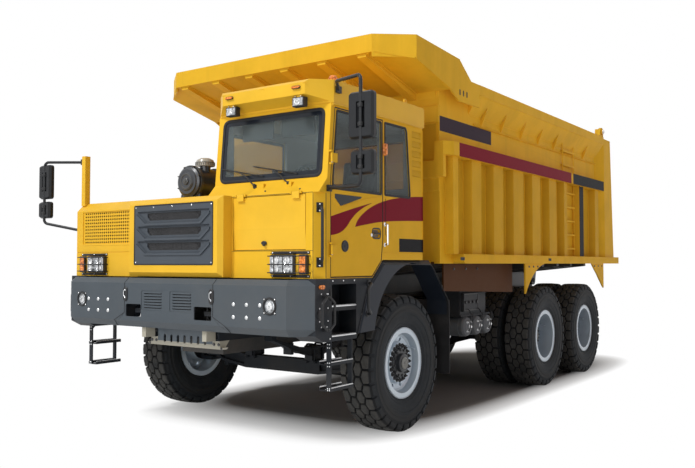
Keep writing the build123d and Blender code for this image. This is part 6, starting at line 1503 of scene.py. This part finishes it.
bm = bmesh.new()
low_x, high_x = SEAT_X - 0.235, SEAT_X + 0.235
seam = [(low_x, -3.055, 2.060), (high_x, -3.055, 2.060), (high_x, -2.600, 2.055), (low_x, -2.600, 2.055)]
band(bm, filleted(seam, 0.06, 5, True), UP,
     [(-0.006, -0.003), (-0.006, 0.003), (0.004, 0.003), (0.007, 0), (0.004, -0.003)])
box(bm, (0.835, -2.985, 1.7605), (1.265, -2.600, 1.800), 0.010)
for z, half in ((1.815, 0.185), (1.850, 0.165), (1.885, 0.185), (1.920, 0.165), (1.955, 0.185)):
    box(bm, (SEAT_X - half, -2.98, z - 0.0185), (SEAT_X + half, -2.61, z + 0.0185), 0.012, 3)
box(bm, (0.835, -3.00, 1.976), (1.265, -2.60, 2.022), 0.010)
box(bm, (0.99, -2.60, 2.03), (1.11, -2.545, 2.20), 0.010)
for side in BOTH:
    arm_x = SEAT_X + side * 0.262
    tube(bm, through([(SEAT_X + side * 0.255, -2.60, 2.03), (arm_x, -2.60, 2.18), (arm_x, -2.57, 2.25)], 5),
         0.012, 8)
    box(bm, (arm_x - 0.022, -2.86, 2.245), (arm_x + 0.022, -2.55, 2.275), 0.010, 3)
base = piece("seat_base", bm, black)
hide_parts("seat")

# Steering wheel: padded rim over the plain ring, and its hub boss
bm = bmesh.new()
wheel_middle = Vector((SEAT_X, -3.350, 2.420))
wheel_out = Vector((0, 0.270, 0.170)).normalized()
grip = [(0.012 + 0.016 * math.cos(t), 0.214 + 0.0195 * math.sin(t)) for t in turns(12)]
lathe(bm, grip, wheel_middle, wheel_out, 48, True)
lathe(bm, [(0.010, 0.070), (0.034, 0.066), (0.044, 0.050), (0.048, 0)], wheel_middle, wheel_out, 32)
piece("steering_wheel_grip", bm, black)

# Floor, light and camera
bpy.ops.mesh.primitive_grid_add(x_subdivisions=8, y_subdivisions=8, size=120, location=(0, 0, -0.002))
floor = bpy.context.active_object
floor.name = "studio_floor"
floor_mat, floor_tree, floor_shader = new_material("studio_floor")
floor_shader.inputs["Roughness"].default_value = 0.9
floor_shader.inputs["Specular IOR Level"].default_value = 0.1
floor.data.materials.append(floor_mat)


def seen_directly(tree):
    """1 for camera, glass and mirror rays, 0 for the light that falls on the truck."""
    path = tree.nodes.new("ShaderNodeLightPath")
    seen = maths(tree, "MAXIMUM", path.outputs["Is Camera Ray"], path.outputs["Is Transmission Ray"])
    return maths(tree, "MAXIMUM", seen, path.outputs["Is Glossy Ray"])


def blended(tree, factor, one, two, output):
    """Surface that turns from one shader into another."""
    node = tree.nodes.new("ShaderNodeMixShader")
    for n, socket in enumerate((factor, one.outputs[0], two.outputs[0])):
        tree.links.new(socket, node.inputs[n])
    tree.links.new(node.outputs[0], tree.nodes[output].inputs["Surface"])


def grey_of(value):
    """Grey colour of a brightness."""
    return (value, value, value)


# Under the truck the floor keeps its cast shadow and its colour darkens into a painted shadow, and away from
# it the white backdrop takes over
SHADE_HALF_X, SHADE_HALF_Y, SHADE_MIDDLE_Y = 1.95, 4.55, 0.95
floor_x, floor_y, _ = place_xyz(floor_tree)
side_way = maths(floor_tree, "DIVIDE", maths(floor_tree, "ABSOLUTE", floor_x), SHADE_HALF_X)
along = maths(floor_tree, "ABSOLUTE", maths(floor_tree, "SUBTRACT", floor_y, SHADE_MIDDLE_Y))
long_way = maths(floor_tree, "DIVIDE", along, SHADE_HALF_Y)
corner = plus(floor_tree, maths(floor_tree, "POWER", side_way, 5.0),
              maths(floor_tree, "POWER", long_way, 5.0))
spread = maths(floor_tree, "POWER", corner, 0.2)
fade = ramp(floor_tree, spread, (0.74, BLACK), (0.92, grey_of(0.55)), (1.0, WHITE))
# Painted shadow: the floor's colour darkens towards the middle of the truck's footprint.
shade = ramp(floor_tree, spread, (0.70, grey_of(0.22)), (1.0, grey_of(0.86)))
floor_tree.links.new(shade, floor_shader.inputs["Base Color"])
backdrop = floor_tree.nodes.new("ShaderNodeEmission")
backdrop.inputs["Color"].default_value = (1, 1, 1, 1)
blended(floor_tree, times(floor_tree, fade, seen_directly(floor_tree)), floor_shader, backdrop,
        "Material Output")


def turned(place, aim):
    """Rotation of a light or camera at a place that looks at a point."""
    return (Vector(aim) - Vector(place)).to_track_quat("-Z", "Y").to_euler()


def area_light(name, place, aim, size, power, colour=(1, 1, 1)):
    """Rectangular area light aimed at a point."""
    data = bpy.data.lights.new(name, "AREA")
    data.shape = "RECTANGLE"
    data.size, data.size_y = size
    data.energy = power
    data.color = colour
    obj = bpy.data.objects.new(name, data)
    obj.location = place
    obj.rotation_euler = turned(place, aim)
    bpy.context.scene.collection.objects.link(obj)


sun_data = bpy.data.lights.new("sun", "SUN")
sun_data.energy = 2.12
sun_data.angle = math.radians(12)
sun = bpy.data.objects.new("sun", sun_data)
sun.rotation_euler = turned((-0.30, -1.0, 1.15), (0, 0, 0))
bpy.context.scene.collection.objects.link(sun)
area_light("front_fill", (2.5, -11.0, 3.5), (0, -3, 1.5), (5, 4), 150)
area_light("side_fill", (9.0, 0.5, 4.5), (1.6, 0.5, 1.8), (8, 5), 54, (1.0, 0.54, 0.56))

world = bpy.data.worlds.new("studio")
bpy.context.scene.world = world
world.use_nodes = True
ambient = world.node_tree.nodes["Background"]
ambient.inputs["Color"].default_value = (1.0, 0.96, 0.90, 1)
ambient.inputs["Strength"].default_value = 0.26
bright = world.node_tree.nodes.new("ShaderNodeBackground")
bright.inputs["Color"].default_value = (1, 1, 1, 1)
bright.inputs["Strength"].default_value = 1.0
blended(world.node_tree, seen_directly(world.node_tree), ambient, bright, "World Output")

camera_data = bpy.data.cameras.new("camera")
camera = bpy.data.objects.new("camera", camera_data)
bpy.context.scene.collection.objects.link(camera)
bpy.context.scene.camera = camera
camera.location = (5.6421, -9.3991, 1.6806)
camera.rotation_euler = turned(camera.location, (-1.0707, -0.014, 2.1111))
FOCAL_PIXELS, PHOTO_PIXELS = 790.62, 695
camera_data.sensor_width = 36
camera_data.lens = FOCAL_PIXELS / PHOTO_PIXELS * 36
camera_data.shift_x = 0.0164
camera_data.clip_end = 300

bpy.context.scene.view_settings.view_transform = "Standard"
